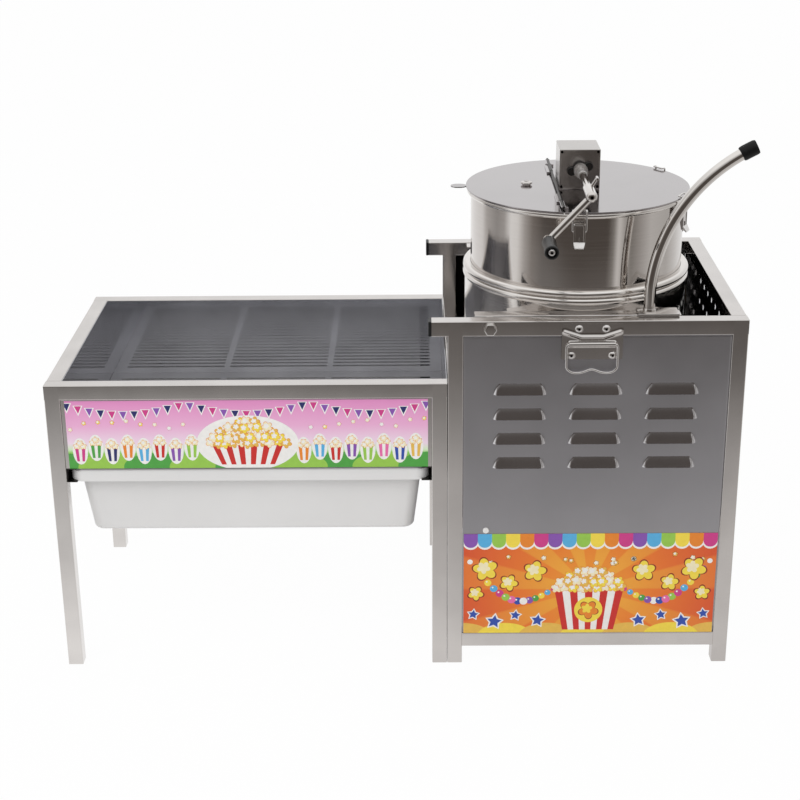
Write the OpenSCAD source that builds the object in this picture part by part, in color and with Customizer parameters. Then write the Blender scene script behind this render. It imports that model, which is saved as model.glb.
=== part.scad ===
// Floor-standing popcorn machine: a louvred cabinet with a tipping pot, stirred by a hand crank on its lid,
// beside a sifting table with a slotted tray and a kernel tub. Millimetres, +Z up, operator at -Y.

/* [Cabinet] */
// Outer width of the cabinet, without the rail ends
cab_w = 480; // [460:5:560]
// Outer depth of the cabinet
cab_d = 490; // [484:2:600]
// Height of the cabinet's top rails above the floor
cab_h = 620; // [580:5:700]
// Side of the square tube
tube = 25; // [20:1:26]
// Wall of the square tube
tube_wall = 1.2; // [0.8:0.1:2]
// Reach of the front and rear top rails past the left legs
rail_overhang = 26; // [10:1:60]
// Height of the lower rails above the floor
lower_rail_z = 32; // [10:1:80]
// Drop of the left upper rail below the cabinet's top
left_rail_drop = 105; // [90:1:150]
// Drop of the burner's side rails below the cabinet's top
burner_drop = 200; // [180:5:260]
// Side of the burner's side rails
burner_rail = 20; // [15:1:21]
// Thickness of the sheet panels
sheet = 1; // [0.8:0.1:2]
// Setback of the panels from the outer faces of the tubes
panel_setback = 1; // [0.8:0.1:2]
// Thickness of the printed sheets
print_t = 0.5; // [0.3:0.1:0.7]
// Height of the printed sheet on the cabinet's front
print_h = 188; // [100:1:220]

/* [Louvres and vents] */
// Length of a louvre
louvre_w = 86; // [50:1:110]
// Height of a louvre
louvre_h = 19; // [12:1:28]
// Reach of a louvre in front of the panel
louvre_d = 7; // [4:0.5:10]
// Distance between louvre columns
louvre_pitch_x = 123; // [112:1:130]
// Distance between louvre rows
louvre_pitch_z = 43; // [32:1:60]
// Drop of the top louvres' lower edges below the cabinet's top
louvre_drop = 125; // [105:1:160]
// Number of louvre rows
louvre_rows = 4; // [1:1:5]
// Radius of a vent hole in the right panel
vent_r = 5; // [3:0.5:8]
// Distance between vent holes
vent_pitch = 38.7; // [25:0.1:42]
// Number of vent holes in a row
vent_count = 11; // [3:2:11]
// Number of vent rows
vent_rows = 4; // [1:1:6]
// Drop of the top vent row below the cabinet's top
vent_drop = 70; // [45:1:120]

/* [Chest handles] */
// Width of a handle plate
handle_w = 98; // [90:1:120]
// Height of a handle plate
handle_h = 60; // [56:1:80]
// Thickness of a handle plate
handle_t = 1.5; // [1:0.1:3]
// Distance of a handle plate's top from the cabinet's top
handle_drop = 4; // [2:0.5:8]
// Offset of the handles from the cabinet's middle, towards the table
handle_shift = 9; // [0:1:30]
// Radius of the bail's wire
handle_wire_r = 2.5; // [2:0.1:3]
// Distance between the bail's legs
bail_w = 82; // [70:1:88]
// Length of the bail's legs
bail_l = 48; // [40:1:70]
// Rise of the bail's middle
bail_rise = 7; // [0:0.5:12]

/* [Pot] */
// Outer radius of the pot's wall
pot_r = 180; // [150:1:182]
// Sheet of the pot, drum and lid
pot_sheet = 1.5; // [1:0.1:2.5]
// Height of the pot's rim above the cabinet's top
rim_rise = 160; // [130:1:220]
// Height of the pot's straight wall's lower end above the cabinet's top
bowl_rise = 20; // [10:1:30]
// Depth of the round bottom
bowl_depth = 80; // [50:1:90]
// Radius of the rolled rim
rim_bead_r = 5; // [3:0.5:6]
// Air space between the pot and the drum
drum_gap = 8.5; // [5:0.5:9]
// Reach of the drum below the cabinet's top
drum_drop = 100; // [70:1:105]
// Height of the collar's top above the cabinet's top
collar_rise = 32; // [31:1:60]
// Radius of each of the collar's two rolls
collar_bead_r = 6.2; // [5:0.1:9]
// Reach of the collar past the drum
collar_lip = 3; // [2:0.5:8]
// Distance of the pivot bolts from the cabinet's left side
pivot_inset = 68; // [50:1:90]
// Distance from the pivot bolts to the pot's axis
pot_reach = 156; // [150:1:160]
// Radius of the pivot bolts
pivot_r = 6; // [4:0.5:7]
// Reach of the tilt bars to the left of the pivot bolts
bar_left = 24; // [16:1:30]
// Length of the tilt bars
bar_l = 332; // [320:1:360]

/* [Lever] */
// Distance of the lever from the pot's axis
lever_shift = 102; // [90:1:110]
// Outer radius of the lever's tube
lever_r = 9.5; // [7:0.5:11]
// Length of the lever's straight foot
lever_foot = 21; // [15:1:40]
// Radius of the lever's bend
lever_bend_r = 270; // [220:1:320]
// Angle that the lever turns through
lever_turn = 65; // [45:1:80]
// Outer radius of the rubber cap
cap_r = 12; // [11.5:0.5:16]
// Length of the rubber cap
cap_l = 27; // [15:1:40]

/* [Lid] */
// Radius of the lid
lid_r = 188.5; // [187:0.5:189]
// Thickness of the lid
lid_t = 2; // [1.5:0.1:3]
// Distance of the flap's hinge from the pot's axis
hinge_shift = 37.5; // [37:0.5:50]
// Radius of the hinge rod
hinge_rod_r = 2.5; // [2:0.1:3]
// Outer radius of the hinge knuckles
knuckle_r = 4; // [3.6:0.1:5]
// Length of the flap's finger tab
tab_l = 26; // [15:1:40]
// Width of the flap's finger tab
tab_w = 24; // [14:1:40]
// Radius of the flap's knob
knob_r = 10; // [6:0.5:12]
// Height of the flap's knob
knob_h = 6.5; // [5:0.5:7]
// Distance of the flap's knob from the pot's axis
knob_shift = 86; // [80:1:140]

/* [Gearbox and crank] */
// Width of the gearbox
box_w = 68; // [64:1:69]
// Depth of the gearbox
box_d = 74; // [66:1:90]
// Height of the gearbox
box_h = 68; // [65:1:90]
// Sheet of the gearbox
box_sheet = 2; // [1.5:0.1:3]
// Height of the crank's axis above the lid
crank_rise = 36; // [35:1:36]
// Radius of the crank shaft and of the stirrer shaft
shaft_r = 6; // [5:0.5:7]
// Pitch radius of the bevel gears
gear_r = 22; // [20:0.5:22]
// Teeth of each bevel gear
gear_teeth = 22; // [18:1:24]
// Distance from the pot's axis to the front of the crank's hub
crank_reach = 236; // [210:1:260]
// Radius of the crank's hub
hub_r = 9; // [8:0.5:12]
// Length of the crank's hub
hub_l = 60; // [30:1:70]
// Distance from the crank's axis to the grip's axis
crank_l = 96; // [70:1:120]
// Direction of the crank's arm at rest, from +X
crank_angle = 227; // [180:1:290]
// Radius of the crank's arm
arm_r = 5.8; // [4:0.1:7]
// Length of the grip
grip_l = 64; // [50:1:110]
// Radius of the grip
grip_r = 11.5; // [9:0.5:15]

/* [Latches] */
// Directions of the three latches round the pot, from +X
latch_angles = [-94, -29, 35];
// Width of a latch lever
latch_w = 18.4; // [16:0.1:22]
// Length of a latch lever below its pin
latch_l = 34.5; // [25:0.5:45]
// Radius of a latch bail's wire
latch_wire_r = 1.5; // [1:0.1:2]

/* [Table] */
// Length of the table
table_l = 655; // [500:5:900]
// Depth of the table
table_d = 480; // [400:5:600]
// Height of the table
table_h = 515; // [480:5:520]
// Space between the table and the cabinet
stand_gap = 0.8; // [0.2:0.1:0.9]
// Depth of the tray
tray_depth = 147; // [80:1:180]
// Width of a sieve slot
slot_w = 8; // [5:0.5:12]
// Length of a sieve slot
slot_l = 188; // [60:1:188]
// Distance between sieve rows
slot_pitch_y = 18; // [14:1:40]
// Distance between slots in a row
slot_pitch_x = 198; // [194:1:240]
// Height of the tub
tub_h = 124; // [60:1:150]
// Wall of the tub
tub_wall = 2.5; // [1.5:0.1:4]
// Inset of the tub's floor from its rim on each side
tub_taper = 15; // [10:1:60]
// Radius of the tub's corners
tub_corner_r = 20; // [15:1:60]
// Width of the tub's rim on each side
tub_rim_w = 12; // [10:1:18]
// Thickness of the tub's rim
tub_rim_t = 20; // [6:0.5:20.5]
// Width of a tub runner
runner_w = 17; // [15:1:30]
// Height of a tub runner
runner_h = 24; // [23.5:0.5:32]

/* [Hidden] */
$fn = 64;
eps = 0.01;
// Space left between welded pieces
weld_gap = 0.2;
// Radial space of a shaft in its bush
run_fit = 0.05;
// Space between faces that pass each other
pass_gap = 0.3;
bolt_hole_gap = 0.1;

steel = [0.72, 0.70, 0.68];
dark_steel = [0.45, 0.44, 0.44];
pale_steel = [0.80, 0.79, 0.78];
black_plastic = [0.06, 0.06, 0.06];
white_plastic = [0.93, 0.93, 0.92];
iron = [0.16, 0.15, 0.15];
brass_tone = [0.75, 0.60, 0.30];

// Lever: its end, seen from the front
cap_wall = 3;
cap_turn = cap_l / lever_bend_r * 180 / PI;
lever_end_x = lever_bend_r * (1 - cos(lever_turn)) + cap_r * cos(lever_turn);

// Crank: grip and bolt along the arm's end
boss_l = 14;
boss_r = 8;
arm_setback = boss_l / 2 + 1;
grip_head_h = 4;
grip_recess = grip_head_h + 1;
grip_back = crank_reach - arm_setback + boss_l / 2 + 0.5;
grip_front = grip_back + grip_l;

// Gas pipe and hose tail behind the rear panel
hose_tail_l = 40;
hose_tail_out = 12;
pipe_r = 7;

// The origin lies under the middle of the whole machine's box
reach_left = stand_gap + table_l;
reach_right = max(cab_w, pivot_inset + pot_reach + lever_shift + lever_end_x);
reach_front = max(0, grip_front - cab_d / 2);
reach_rear = cab_d + hose_tail_out + hose_tail_l;
cab_x = (reach_left - reach_right) / 2;
cab_y = (reach_front - reach_rear) / 2;
cab_x1 = cab_x + cab_w;
cab_y1 = cab_y + cab_d;
mid_y = cab_y + cab_d / 2;
rail_z = cab_h - tube;
lower_top = lower_rail_z + tube;
left_rail_top = cab_h - left_rail_drop;

// Pot, from the pivot bolts up
pivot_x = cab_x + pivot_inset;
pivot_z = cab_h - tube / 2;
pot_x = pivot_x + pot_reach;
rim_z = cab_h + rim_rise;
bowl_top = cab_h + bowl_rise;
bowl_bottom = bowl_top - bowl_depth;
bowl_r = (pot_r * pot_r + bowl_depth * bowl_depth) / (2 * bowl_depth);
bowl_centre = bowl_bottom + bowl_r;
drum_r = pot_r + drum_gap + pot_sheet;
drum_bottom = cab_h - drum_drop;
collar_r = drum_r + collar_lip;
collar_top = cab_h + collar_rise;
collar_bottom = collar_top - 4 * collar_bead_r;
rim_r = pot_r + 1.5 + rim_bead_r;

// Tilt bars beside the drum
bar_y = mid_y - drum_r - weld_gap - tube;
bar_gap = bar_y - cab_y - tube;
bar_x = pivot_x - bar_left;
sleeve_wall = 2;
washer_r = 12;
bolt_af = 19;
head_h = 7.5;
nut_h = 8;
gusset_t = 4;
gusset_z = pivot_z - gusset_t / 2;
gusset_w = 60;
gusset_shift = 95;

// Lever and its bracket
lever_x = pot_x + lever_shift;
lever_y = bar_y + tube / 2;
bracket_t = 4;
bracket_z = cab_h + pass_gap;
bracket_left = 20;
bracket_right = 46;
bracket_lap = 5;
lever_z = bracket_z + bracket_t;
bend_z = lever_z + lever_foot;
lever_wall = 1.5;

// Lid, flap and hinge
lid_z = rim_z + pass_gap;
lid_top = lid_z + lid_t;
hinge_x = pot_x - hinge_shift;
hinge_lift = 0.4;
hinge_z = lid_top + hinge_lift + knuckle_r;
seam = 1;
leaf_w = 8;
leaf_t = 2;
lid_knuckle_l = 40;
flap_knuckle_l = 52;
knuckle_gap = 1.5;
rod_half = sqrt(lid_r * lid_r - hinge_shift * hinge_shift) - 14;

// Gearbox, shafts and gears
crank_z = lid_top + crank_rise;
flange_t = 6;
flange_ear = 15;
flange_ear_r = 7;
flange_hub_r = 11.5;
flange_tilt = 16;
flange_bolt_r = 2.5;
flange_bolt_head = 3;
flange_head_r = 4.2;
collar_nut_r = 11.8;
collar_nut_l = 15;
collar_sleeve_r = shaft_r + 1.5;
collar_sleeve_l = 26;
box_front = mid_y - box_d / 2;
box_back = mid_y + box_d / 2;
gear_h = 6;
gear_addendum = 1.6;
gear_dedendum = 2.6;
gear_hub_r = shaft_r + 4;
bush_r = shaft_r + 3;
bush_flange_r = 15;
bush_flange_t = 3;
bush_drop = 25;
stirrer_top = crank_z - shaft_r - 3;
blade_gap = 3;
blade_h = 20;
blade_t = 4;
blade_reach = pot_r - 30;
blade_bottom = bowl_bottom + pot_sheet + blade_gap;
stirrer_hub_h = 35;
stirrer_hub_r = shaft_r + 5;
crank_front = mid_y - crank_reach;
arm_y = crank_front + arm_setback;
grip_x = pot_x + crank_l * cos(crank_angle);
grip_z = crank_z + crank_l * sin(crank_angle);
grip_bolt_r = 4;
grip_head_r = 6.5;
clamp_r = 3;
clamp_l = 14;
clamp_bar_l = 14;
clamp_bar_r = 2.5;
clamp_turn = 169;
clamp_angle = crank_angle - clamp_turn;
clamp_back = 12;

// Latches: radial places, measured from the pot's axis
latch_base_t = 1.2;
latch_base_in = pot_r + weld_gap / 2;
latch_pin_r = 2;
latch_pin_at = latch_base_in + latch_base_t + 4.8;
latch_pin_z = rim_z - 20;
latch_plate = 1.2;
latch_side_out = latch_w / 2;
latch_side_in = latch_side_out - latch_plate;
latch_ear_out = latch_side_in - pass_gap;
latch_ear_in = latch_ear_out - latch_plate;
bail_at = lid_r + pass_gap + latch_wire_r + 0.4;
bail_z = latch_pin_z - 8;
bail_half = latch_side_out + pass_gap + latch_wire_r;
bail_clear = 1.6;
bail_top = lid_top + bail_clear + latch_wire_r;
bail_hook = 6;
latch_face = bail_at + latch_wire_r + 1.2;
latch_round = 4;

// Louvres
louvre_r = (louvre_h * louvre_h + louvre_d * louvre_d) / (2 * louvre_d);
panel_gap = 0.3;
panel_y = cab_y + panel_setback;
panel_bottom = lower_top + panel_gap;
panel_top = rail_z - panel_gap;
print_margin = 2;
plug_r = 5;
plug_h = 2.5;
plug_shift = 64;

// Chest handles
handle_x = cab_x + cab_w / 2 - handle_shift;
handle_top = cab_h - handle_drop;
axle_drop = 34;
axle_z = handle_top - axle_drop;
axle_out = handle_t + 0.7 + handle_wire_r;
tunnel_r = handle_wire_r + 1.5;
tunnel_half = bail_w / 2 - handle_wire_r - 1;
trunnion_in = 12;
bail_corner = 8;
screw_r = 5.2;
screw_h = 2.6;
screw_shank_r = 2.2;
screw_places = [[-21.7, 9], [21.7, 9], [-33, handle_h - 6.5], [33, handle_h - 6.5]];
handle_screw_z = [for (p = screw_places) handle_top - p[1]];

// Burner
burner_rail_top = cab_h - burner_drop;
burner_bar_w = 30;
burner_bar_t = 4;
burner_bar_shift = 60;
burner_ring_r = 90;
burner_tube_r = 11;
burner_foot_h = 4;
burner_z = burner_rail_top + burner_bar_t + burner_foot_h + burner_tube_r;
pipe_hole_r = pipe_r + 2;
hose_tail_r = 5;

// Table
table_x = cab_x - stand_gap - table_l;
table_x1 = table_x + table_l;
table_y1 = cab_y + table_d;
table_rail_z = table_h - tube;
tray_x = table_x + tube + weld_gap;
tray_y = cab_y + tube + weld_gap;
tray_w = table_l - tube - 2 * weld_gap;
tray_d = table_d - 2 * (tube + weld_gap);
tray_bottom = table_h - tray_depth;
tray_lip = 12;
tray_drop = 1;
runner_z = tray_bottom - runner_h - weld_gap;
runner_sheet = 1.2;
rim_clear = 0.8;
tub_x = table_x + tube + runner_sheet + rim_clear + 2;
tub_w = table_l - 2 * (tube + runner_sheet + rim_clear + 2);
tub_y = cab_y + 6;
tub_d = table_d - 40;
tub_top = runner_z + runner_sheet + rim_clear + tub_rim_t;

// Square tube of the given outer size along axis 0, 1 or 2; a cap of 0 leaves that end open
module square_tube(size, axis, caps = [0, 0]) {
    low = [for (i = [0:2]) i == axis ? (caps[0] > 0 ? caps[0] : -eps) : tube_wall];
    high = [for (i = [0:2]) size[i] - (i == axis ? (caps[1] > 0 ? caps[1] : -eps) : tube_wall)];
    difference() {
        cube(size);
        translate(low) cube(high - low);
    }
}

// The same thing at the front and at the rear of the cabinet
module front_and_rear() {
    children();
    translate([0, 2 * mid_y, 0]) mirror([0, 1, 0]) children();
}

// Round bar from a to b
module rod(a, b, r) {
    d = b - a;
    l = norm(d);
    translate(a) rotate([0, acos(d[2] / l), atan2(d[1], d[0])]) cylinder(h = l, r = r);
}

// Bent wire through the points, with rounded corners
module wire(points, r) {
    last = len(points) - 1;
    for (i = [0:last - 1]) rod(points[i], points[i + 1], r);
    for (i = [1:last - 1]) bend(points[i - 1], points[i], points[i + 1], r * 1.06);
}

// Round corner of a wire; its x axis looks away from both bars and its z axis is the bend's axis
module bend(before, at, after, r) {
    a = (before - at) / norm(before - at);
    b = (after - at) / norm(after - at);
    x = -(a + b) / norm(a + b);
    z = cross(a, b) / norm(cross(a, b));
    y = cross(z, x);
    multmatrix([[x[0], y[0], z[0], at[0]], [x[1], y[1], z[1], at[1]], [x[2], y[2], z[2], at[2]]])
        sphere(r = r);
}

// Cylinder along +Y from y0 to y1
module round_y(x, z, r, y0, y1, sides = $fn) {
    translate([x, y0, z]) rotate([-90, 0, 0]) cylinder(h = y1 - y0, r = r, $fn = sides);
}

// Places children in a frame at the pot's axis: x outwards at the given angle, y along the wall
module on_pot(angle) {
    translate([pot_x, mid_y, 0]) rotate([0, 0, angle]) children();
}

// Link outline: a round of radius r1 at the middle and of radius r2 at each end
module link_2d(r1, r2, reach) {
    a = acos((r1 - r2) / reach);
    circle(r = r1);
    for (s = [-1, 1]) scale([s, 1]) {
        translate([reach, 0]) circle(r = r2);
        polygon([[r1 * cos(a), r1 * sin(a)], [reach + r2 * cos(a), r2 * sin(a)],
            [reach + r2 * cos(a), -r2 * sin(a)], [r1 * cos(a), -r1 * sin(a)]]);
    }
}

// Slot with round ends, along x
module slot_2d(l, w) {
    square([l - w, w], center = true);
    for (s = [-1, 1]) translate([s * (l - w) / 2, 0]) circle(d = w);
}

// Four legs, open at the top under the rails and closed at the floor
module four_legs(x0, x1, y0, y1, top) {
    for (x = [x0, x1 - tube]) {
        for (y = [y0, y1 - tube]) {
            translate([x, y, 0]) square_tube([tube, tube, top - weld_gap], 2, [tube_wall, 0]);
        }
    }
}

module cabinet_legs() {
    color(steel) four_legs(cab_x, cab_x1, cab_y, cab_y1, rail_z);
}

module cabinet_top_rails() {
    color(steel) {
        front_and_rear() difference() {
            translate([cab_x - rail_overhang, cab_y, rail_z])
                square_tube([cab_w + rail_overhang, tube, tube], 0, [0, tube_wall]);
            round_y(pivot_x, pivot_z, pivot_r + bolt_hole_gap, cab_y - 1, cab_y + tube + 1);
        }
        translate([cab_x1 - tube, cab_y + tube + weld_gap, rail_z])
            square_tube([tube, cab_d - 2 * (tube + weld_gap), tube], 1);
    }
}

// Lower rails on all four sides, the left upper rail and the two side rails that carry the burner
module cabinet_cross_rails() {
    long = cab_w - 2 * (tube + weld_gap);
    deep = cab_d - 2 * (tube + weld_gap);
    inset = panel_setback + sheet + panel_gap;
    color(steel) {
        front_and_rear() translate([cab_x + tube + weld_gap, cab_y, lower_rail_z])
            square_tube([long, tube, tube], 0);
        for (x = [cab_x, cab_x1 - tube]) {
            translate([x, cab_y + tube + weld_gap, lower_rail_z]) square_tube([tube, deep, tube], 1);
        }
        translate([cab_x, cab_y + tube + weld_gap, left_rail_top - tube]) square_tube([tube, deep, tube], 1);
        for (x = [cab_x + inset, cab_x1 - inset - burner_rail]) {
            translate([x, cab_y + tube + weld_gap, burner_rail_top - burner_rail])
                square_tube([burner_rail, deep, burner_rail], 1);
        }
    }
}

module rail_end_plugs() {
    plug_t = tube / 5;
    plug_in = tube * 0.6;
    inner = tube - 2 * (tube_wall + bolt_hole_gap);
    color(black_plastic) front_and_rear() translate([cab_x - rail_overhang, cab_y, rail_z]) {
        translate([-plug_t, 0, 0]) cube([plug_t, tube, tube]);
        translate([-eps, tube_wall + bolt_hole_gap, tube_wall + bolt_hole_gap]) cube([plug_in, inner, inner]);
    }
}

// Louvre body in front of the panel: a shallow arc from the side, with round ends from above
module louvre(x, z, shrink, back) {
    r = louvre_r - shrink;
    w = louvre_w - 2 * shrink;
    d = louvre_d - shrink;
    cut = shrink > 0 ? eps : 0;
    translate([x, panel_y, z - cut]) intersection() {
        translate([-w / 2, louvre_r - louvre_d, 0]) rotate([0, 90, 0]) cylinder(h = w, r = r, $fn = 128);
        linear_extrude(height = louvre_h + cut) intersection() {
            union() {
                translate([d - w / 2, -d]) square([w - 2 * d, d + back]);
                for (s = [-1, 1]) translate([s * (w / 2 - d), 0]) circle(r = d);
                translate([-w / 2, 0]) square([w, back]);
            }
            translate([-w, -2 * d]) square([2 * w, 2 * d + back]);
        }
    }
}

module front_panel() {
    x0 = cab_x + tube + panel_gap;
    columns = [for (i = [-1:1]) cab_x + cab_w / 2 + i * louvre_pitch_x];
    rows = [for (i = [0:louvre_rows - 1]) cab_h - louvre_drop - i * louvre_pitch_z];
    color(dark_steel) difference() {
        union() {
            translate([x0, panel_y, panel_bottom])
                cube([cab_w - 2 * (tube + panel_gap), sheet, panel_top - panel_bottom]);
            for (x = columns) {
                for (z = rows) louvre(x, z, 0, sheet);
            }
        }
        for (x = columns) {
            for (z = rows) louvre(x, z, sheet, sheet + 1);
        }
        round_y(cab_x + plug_shift, plug_z(), plug_r - 1 + bolt_hole_gap, panel_y - 1, panel_y + sheet + 1);
        for (i = [2:3]) {
            round_y(handle_x + screw_places[i][0], handle_screw_z[i], screw_shank_r + bolt_hole_gap,
                panel_y - 1, panel_y + sheet + 1);
        }
    }
}

function plug_z() = panel_bottom + print_h + print_margin + plug_r;

module rear_panel() {
    y0 = cab_y1 - panel_setback - sheet;
    color(dark_steel) difference() {
        translate([cab_x + tube + panel_gap, y0, panel_bottom])
            cube([cab_w - 2 * (tube + panel_gap), sheet, panel_top - panel_bottom]);
        round_y(pot_x, burner_z, pipe_hole_r, y0 - 1, y0 + sheet + 1);
        for (i = [2:3]) {
            round_y(handle_x + screw_places[i][0], handle_screw_z[i], screw_shank_r + bolt_hole_gap,
                y0 - 1, y0 + sheet + 1);
        }
    }
}

module right_panel() {
    half = (vent_count - 1) / 2;
    x0 = cab_x1 - panel_setback - sheet;
    color(dark_steel) difference() {
        translate([x0, cab_y + tube + panel_gap, panel_bottom])
            cube([sheet, cab_d - 2 * (tube + panel_gap), panel_top - panel_bottom]);
        for (i = [-half:half]) {
            for (j = [0:vent_rows - 1]) {
                translate([x0 - 1, mid_y + i * vent_pitch, cab_h - vent_drop - j * vent_pitch])
                    rotate([0, 90, 0]) cylinder(h = sheet + 2, r = vent_r);
            }
        }
    }
}

module left_panel() {
    color(dark_steel) translate([cab_x + panel_setback, cab_y + tube + panel_gap, panel_bottom])
        cube([sheet, cab_d - 2 * (tube + panel_gap), left_rail_top - tube - panel_gap - panel_bottom]);
}

module cabinet_print() {
    color("orangered") translate([cab_x + tube + panel_gap + print_margin, panel_y - print_t, panel_bottom])
        cube([cab_w - 2 * (tube + panel_gap + print_margin), print_t, print_h]);
}

module panel_hole_plug() {
    color(white_plastic) {
        round_y(cab_x + plug_shift, plug_z(), plug_r, panel_y - plug_h, panel_y);
        round_y(cab_x + plug_shift, plug_z(), plug_r - 1, panel_y - eps, panel_y + sheet + 2);
    }
}

// Handle plate with the tunnel that the bail's ends turn in
module handle_plates() {
    color(pale_steel) front_and_rear() difference() {
        union() {
            translate([handle_x - handle_w / 2, cab_y - handle_t, handle_top - handle_h])
                cube([handle_w, handle_t, handle_h]);
            translate([handle_x - tunnel_half, cab_y - axle_out, axle_z]) {
                rotate([0, 90, 0]) cylinder(h = 2 * tunnel_half, r = tunnel_r);
                translate([0, 0, -tunnel_r]) cube([2 * tunnel_half, axle_out - handle_t / 2, 2 * tunnel_r]);
            }
        }
        translate([handle_x - tunnel_half - 1, cab_y - axle_out, axle_z]) rotate([0, 90, 0])
            cylinder(h = 2 * tunnel_half + 2, r = handle_wire_r + run_fit);
        for (i = [0:3]) {
            round_y(handle_x + screw_places[i][0], handle_screw_z[i], screw_shank_r + bolt_hole_gap,
                cab_y - handle_t - 1, cab_y + 1);
        }
    }
}

module handle_screws() {
    color(pale_steel) front_and_rear() for (i = [0:3]) {
        x = handle_x + screw_places[i][0];
        tip = i < 2 ? cab_y - eps : panel_y + sheet + 4;
        round_y(x, handle_screw_z[i], screw_r, cab_y - handle_t - screw_h, cab_y - handle_t);
        round_y(x, handle_screw_z[i], screw_shank_r, cab_y - handle_t - eps, tip);
    }
}

module handle_bail() {
    half = bail_w / 2;
    y = cab_y - axle_out;
    bottom = axle_z - bail_l;
    left = [[-half + trunnion_in, axle_z], [-half, axle_z], [-half, bottom + bail_corner],
        [-half + bail_corner, bottom], [-half + 3 * bail_corner, bottom], [0, bottom + bail_rise]];
    right = [for (i = [len(left) - 2:-1:0]) [-left[i][0], left[i][1]]];
    wire([for (p = concat(left, right)) [handle_x + p[0], y, p[1]]], handle_wire_r);
}

module front_handle_bail() {
    color(pale_steel) handle_bail();
}

module rear_handle_bail() {
    color(pale_steel) translate([0, 2 * mid_y, 0]) mirror([0, 1, 0]) handle_bail();
}

module pivot_bolts() {
    hex_r = bolt_af / 2 / cos(30);
    color(pale_steel) front_and_rear() {
        round_y(pivot_x, pivot_z, hex_r, cab_y - head_h, cab_y, 6);
        round_y(pivot_x, pivot_z, pivot_r, cab_y - eps, bar_y + tube + pass_gap + nut_h + 3);
    }
}

module pivot_washers() {
    color(steel) front_and_rear() difference() {
        round_y(pivot_x, pivot_z, washer_r, cab_y + tube + weld_gap, bar_y - weld_gap);
        round_y(pivot_x, pivot_z, pivot_r + bolt_hole_gap, cab_y + tube - 1, bar_y + 1);
    }
}

module pivot_nuts() {
    y0 = bar_y + tube + pass_gap;
    color(pale_steel) front_and_rear() difference() {
        round_y(pivot_x, pivot_z, bolt_af / 2 / cos(30), y0, y0 + nut_h, 6);
        round_y(pivot_x, pivot_z, pivot_r + run_fit, y0 - 1, y0 + nut_h + 1);
    }
}

module burner_bars() {
    x0 = cab_x + tube;
    color(iron) for (s = [-1, 1]) {
        translate([x0 - tube / 2, mid_y + s * burner_bar_shift - burner_bar_w / 2, burner_rail_top])
            cube([cab_w - tube, burner_bar_w, burner_bar_t]);
    }
}

module burner_ring() {
    foot_z = burner_rail_top + burner_bar_t;
    foot_x = sqrt(burner_ring_r * burner_ring_r - burner_bar_shift * burner_bar_shift);
    color(iron) {
        translate([pot_x, mid_y, burner_z]) {
            rotate_extrude($fn = 96) translate([burner_ring_r, 0]) circle(r = burner_tube_r);
            rod([-burner_ring_r, 0, 0], [burner_ring_r, 0, 0], burner_tube_r - 3);
        }
        for (sx = [-1, 1]) {
            for (sy = [-1, 1]) {
                translate([pot_x + sx * foot_x, mid_y + sy * burner_bar_shift, foot_z])
                    cylinder(h = burner_foot_h + burner_tube_r, r = burner_tube_r - 5);
            }
        }
    }
}

// Pipe from the burner through the rear panel, with a barbed tail for a hose
module gas_pipe() {
    y1 = cab_y1 + hose_tail_out;
    barbs = 4;
    pitch = hose_tail_l / (barbs + 1);
    color(brass_tone) {
        difference() {
            round_y(pot_x, burner_z, pipe_r, mid_y + burner_ring_r, y1);
            translate([pot_x, mid_y, burner_z]) rotate_extrude($fn = 96)
                translate([burner_ring_r, 0]) circle(r = burner_tube_r + weld_gap);
        }
        round_y(pot_x, burner_z, hose_tail_r, y1 - 1, y1 + hose_tail_l);
        round_y(pot_x, burner_z, pipe_r + 2, y1 - 1, y1 + pitch * 0.8, 6);
        for (i = [1:barbs]) translate([pot_x, y1 + i * pitch, burner_z]) rotate([-90, 0, 0])
            cylinder(h = pitch * 0.8, r1 = hose_tail_r + 1.5, r2 = hose_tail_r + 0.2);
    }
}

// Tilt bars in front of and behind the drum, with the plates that tie them to it
module tilt_bars() {
    color(steel) front_and_rear() {
        difference() {
            translate([bar_x, bar_y, rail_z]) square_tube([bar_l, tube, tube], 0, [tube_wall, 0]);
            round_y(pivot_x, pivot_z, pivot_r + sleeve_wall + bolt_hole_gap, bar_y - 1, bar_y + tube + 1);
        }
        for (s = [-1, 1]) {
            difference() {
                translate([pot_x + s * gusset_shift - gusset_w / 2, bar_y + tube - tube_wall / 2, gusset_z])
                    cube([gusset_w, drum_r, gusset_t]);
                translate([pot_x, mid_y, gusset_z - 1])
                    cylinder(h = gusset_t + 2, r = drum_r + weld_gap, $fn = 128);
            }
        }
    }
}

module pivot_sleeves() {
    color(steel) front_and_rear() difference() {
        round_y(pivot_x, pivot_z, pivot_r + sleeve_wall, bar_y, bar_y + tube);
        round_y(pivot_x, pivot_z, pivot_r + run_fit, bar_y - 1, bar_y + tube + 1);
    }
}

// Rolled bead of sheet, open towards the pot
module roll_2d(r) {
    difference() {
        circle(r = r);
        circle(r = r - pot_sheet);
        translate([-2 * r, -r / 3]) square([2 * r, 2 * r / 3]);
    }
}

module drum() {
    bead_at = collar_r - collar_bead_r;
    color(pale_steel) translate([pot_x, mid_y, 0]) rotate_extrude($fn = 128) {
        translate([drum_r - pot_sheet, drum_bottom])
            square([pot_sheet, collar_bottom + 0.8 * pot_sheet - drum_bottom]);
        for (i = [1, 3]) translate([bead_at, collar_bottom + i * collar_bead_r]) roll_2d(collar_bead_r);
        translate([pot_r + weld_gap, collar_top - pot_sheet]) square([bead_at - pot_r, pot_sheet]);
        translate([bead_at - 2, collar_bottom + 2 * collar_bead_r - pot_sheet / 2]) square([4, pot_sheet]);
    }
}

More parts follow.
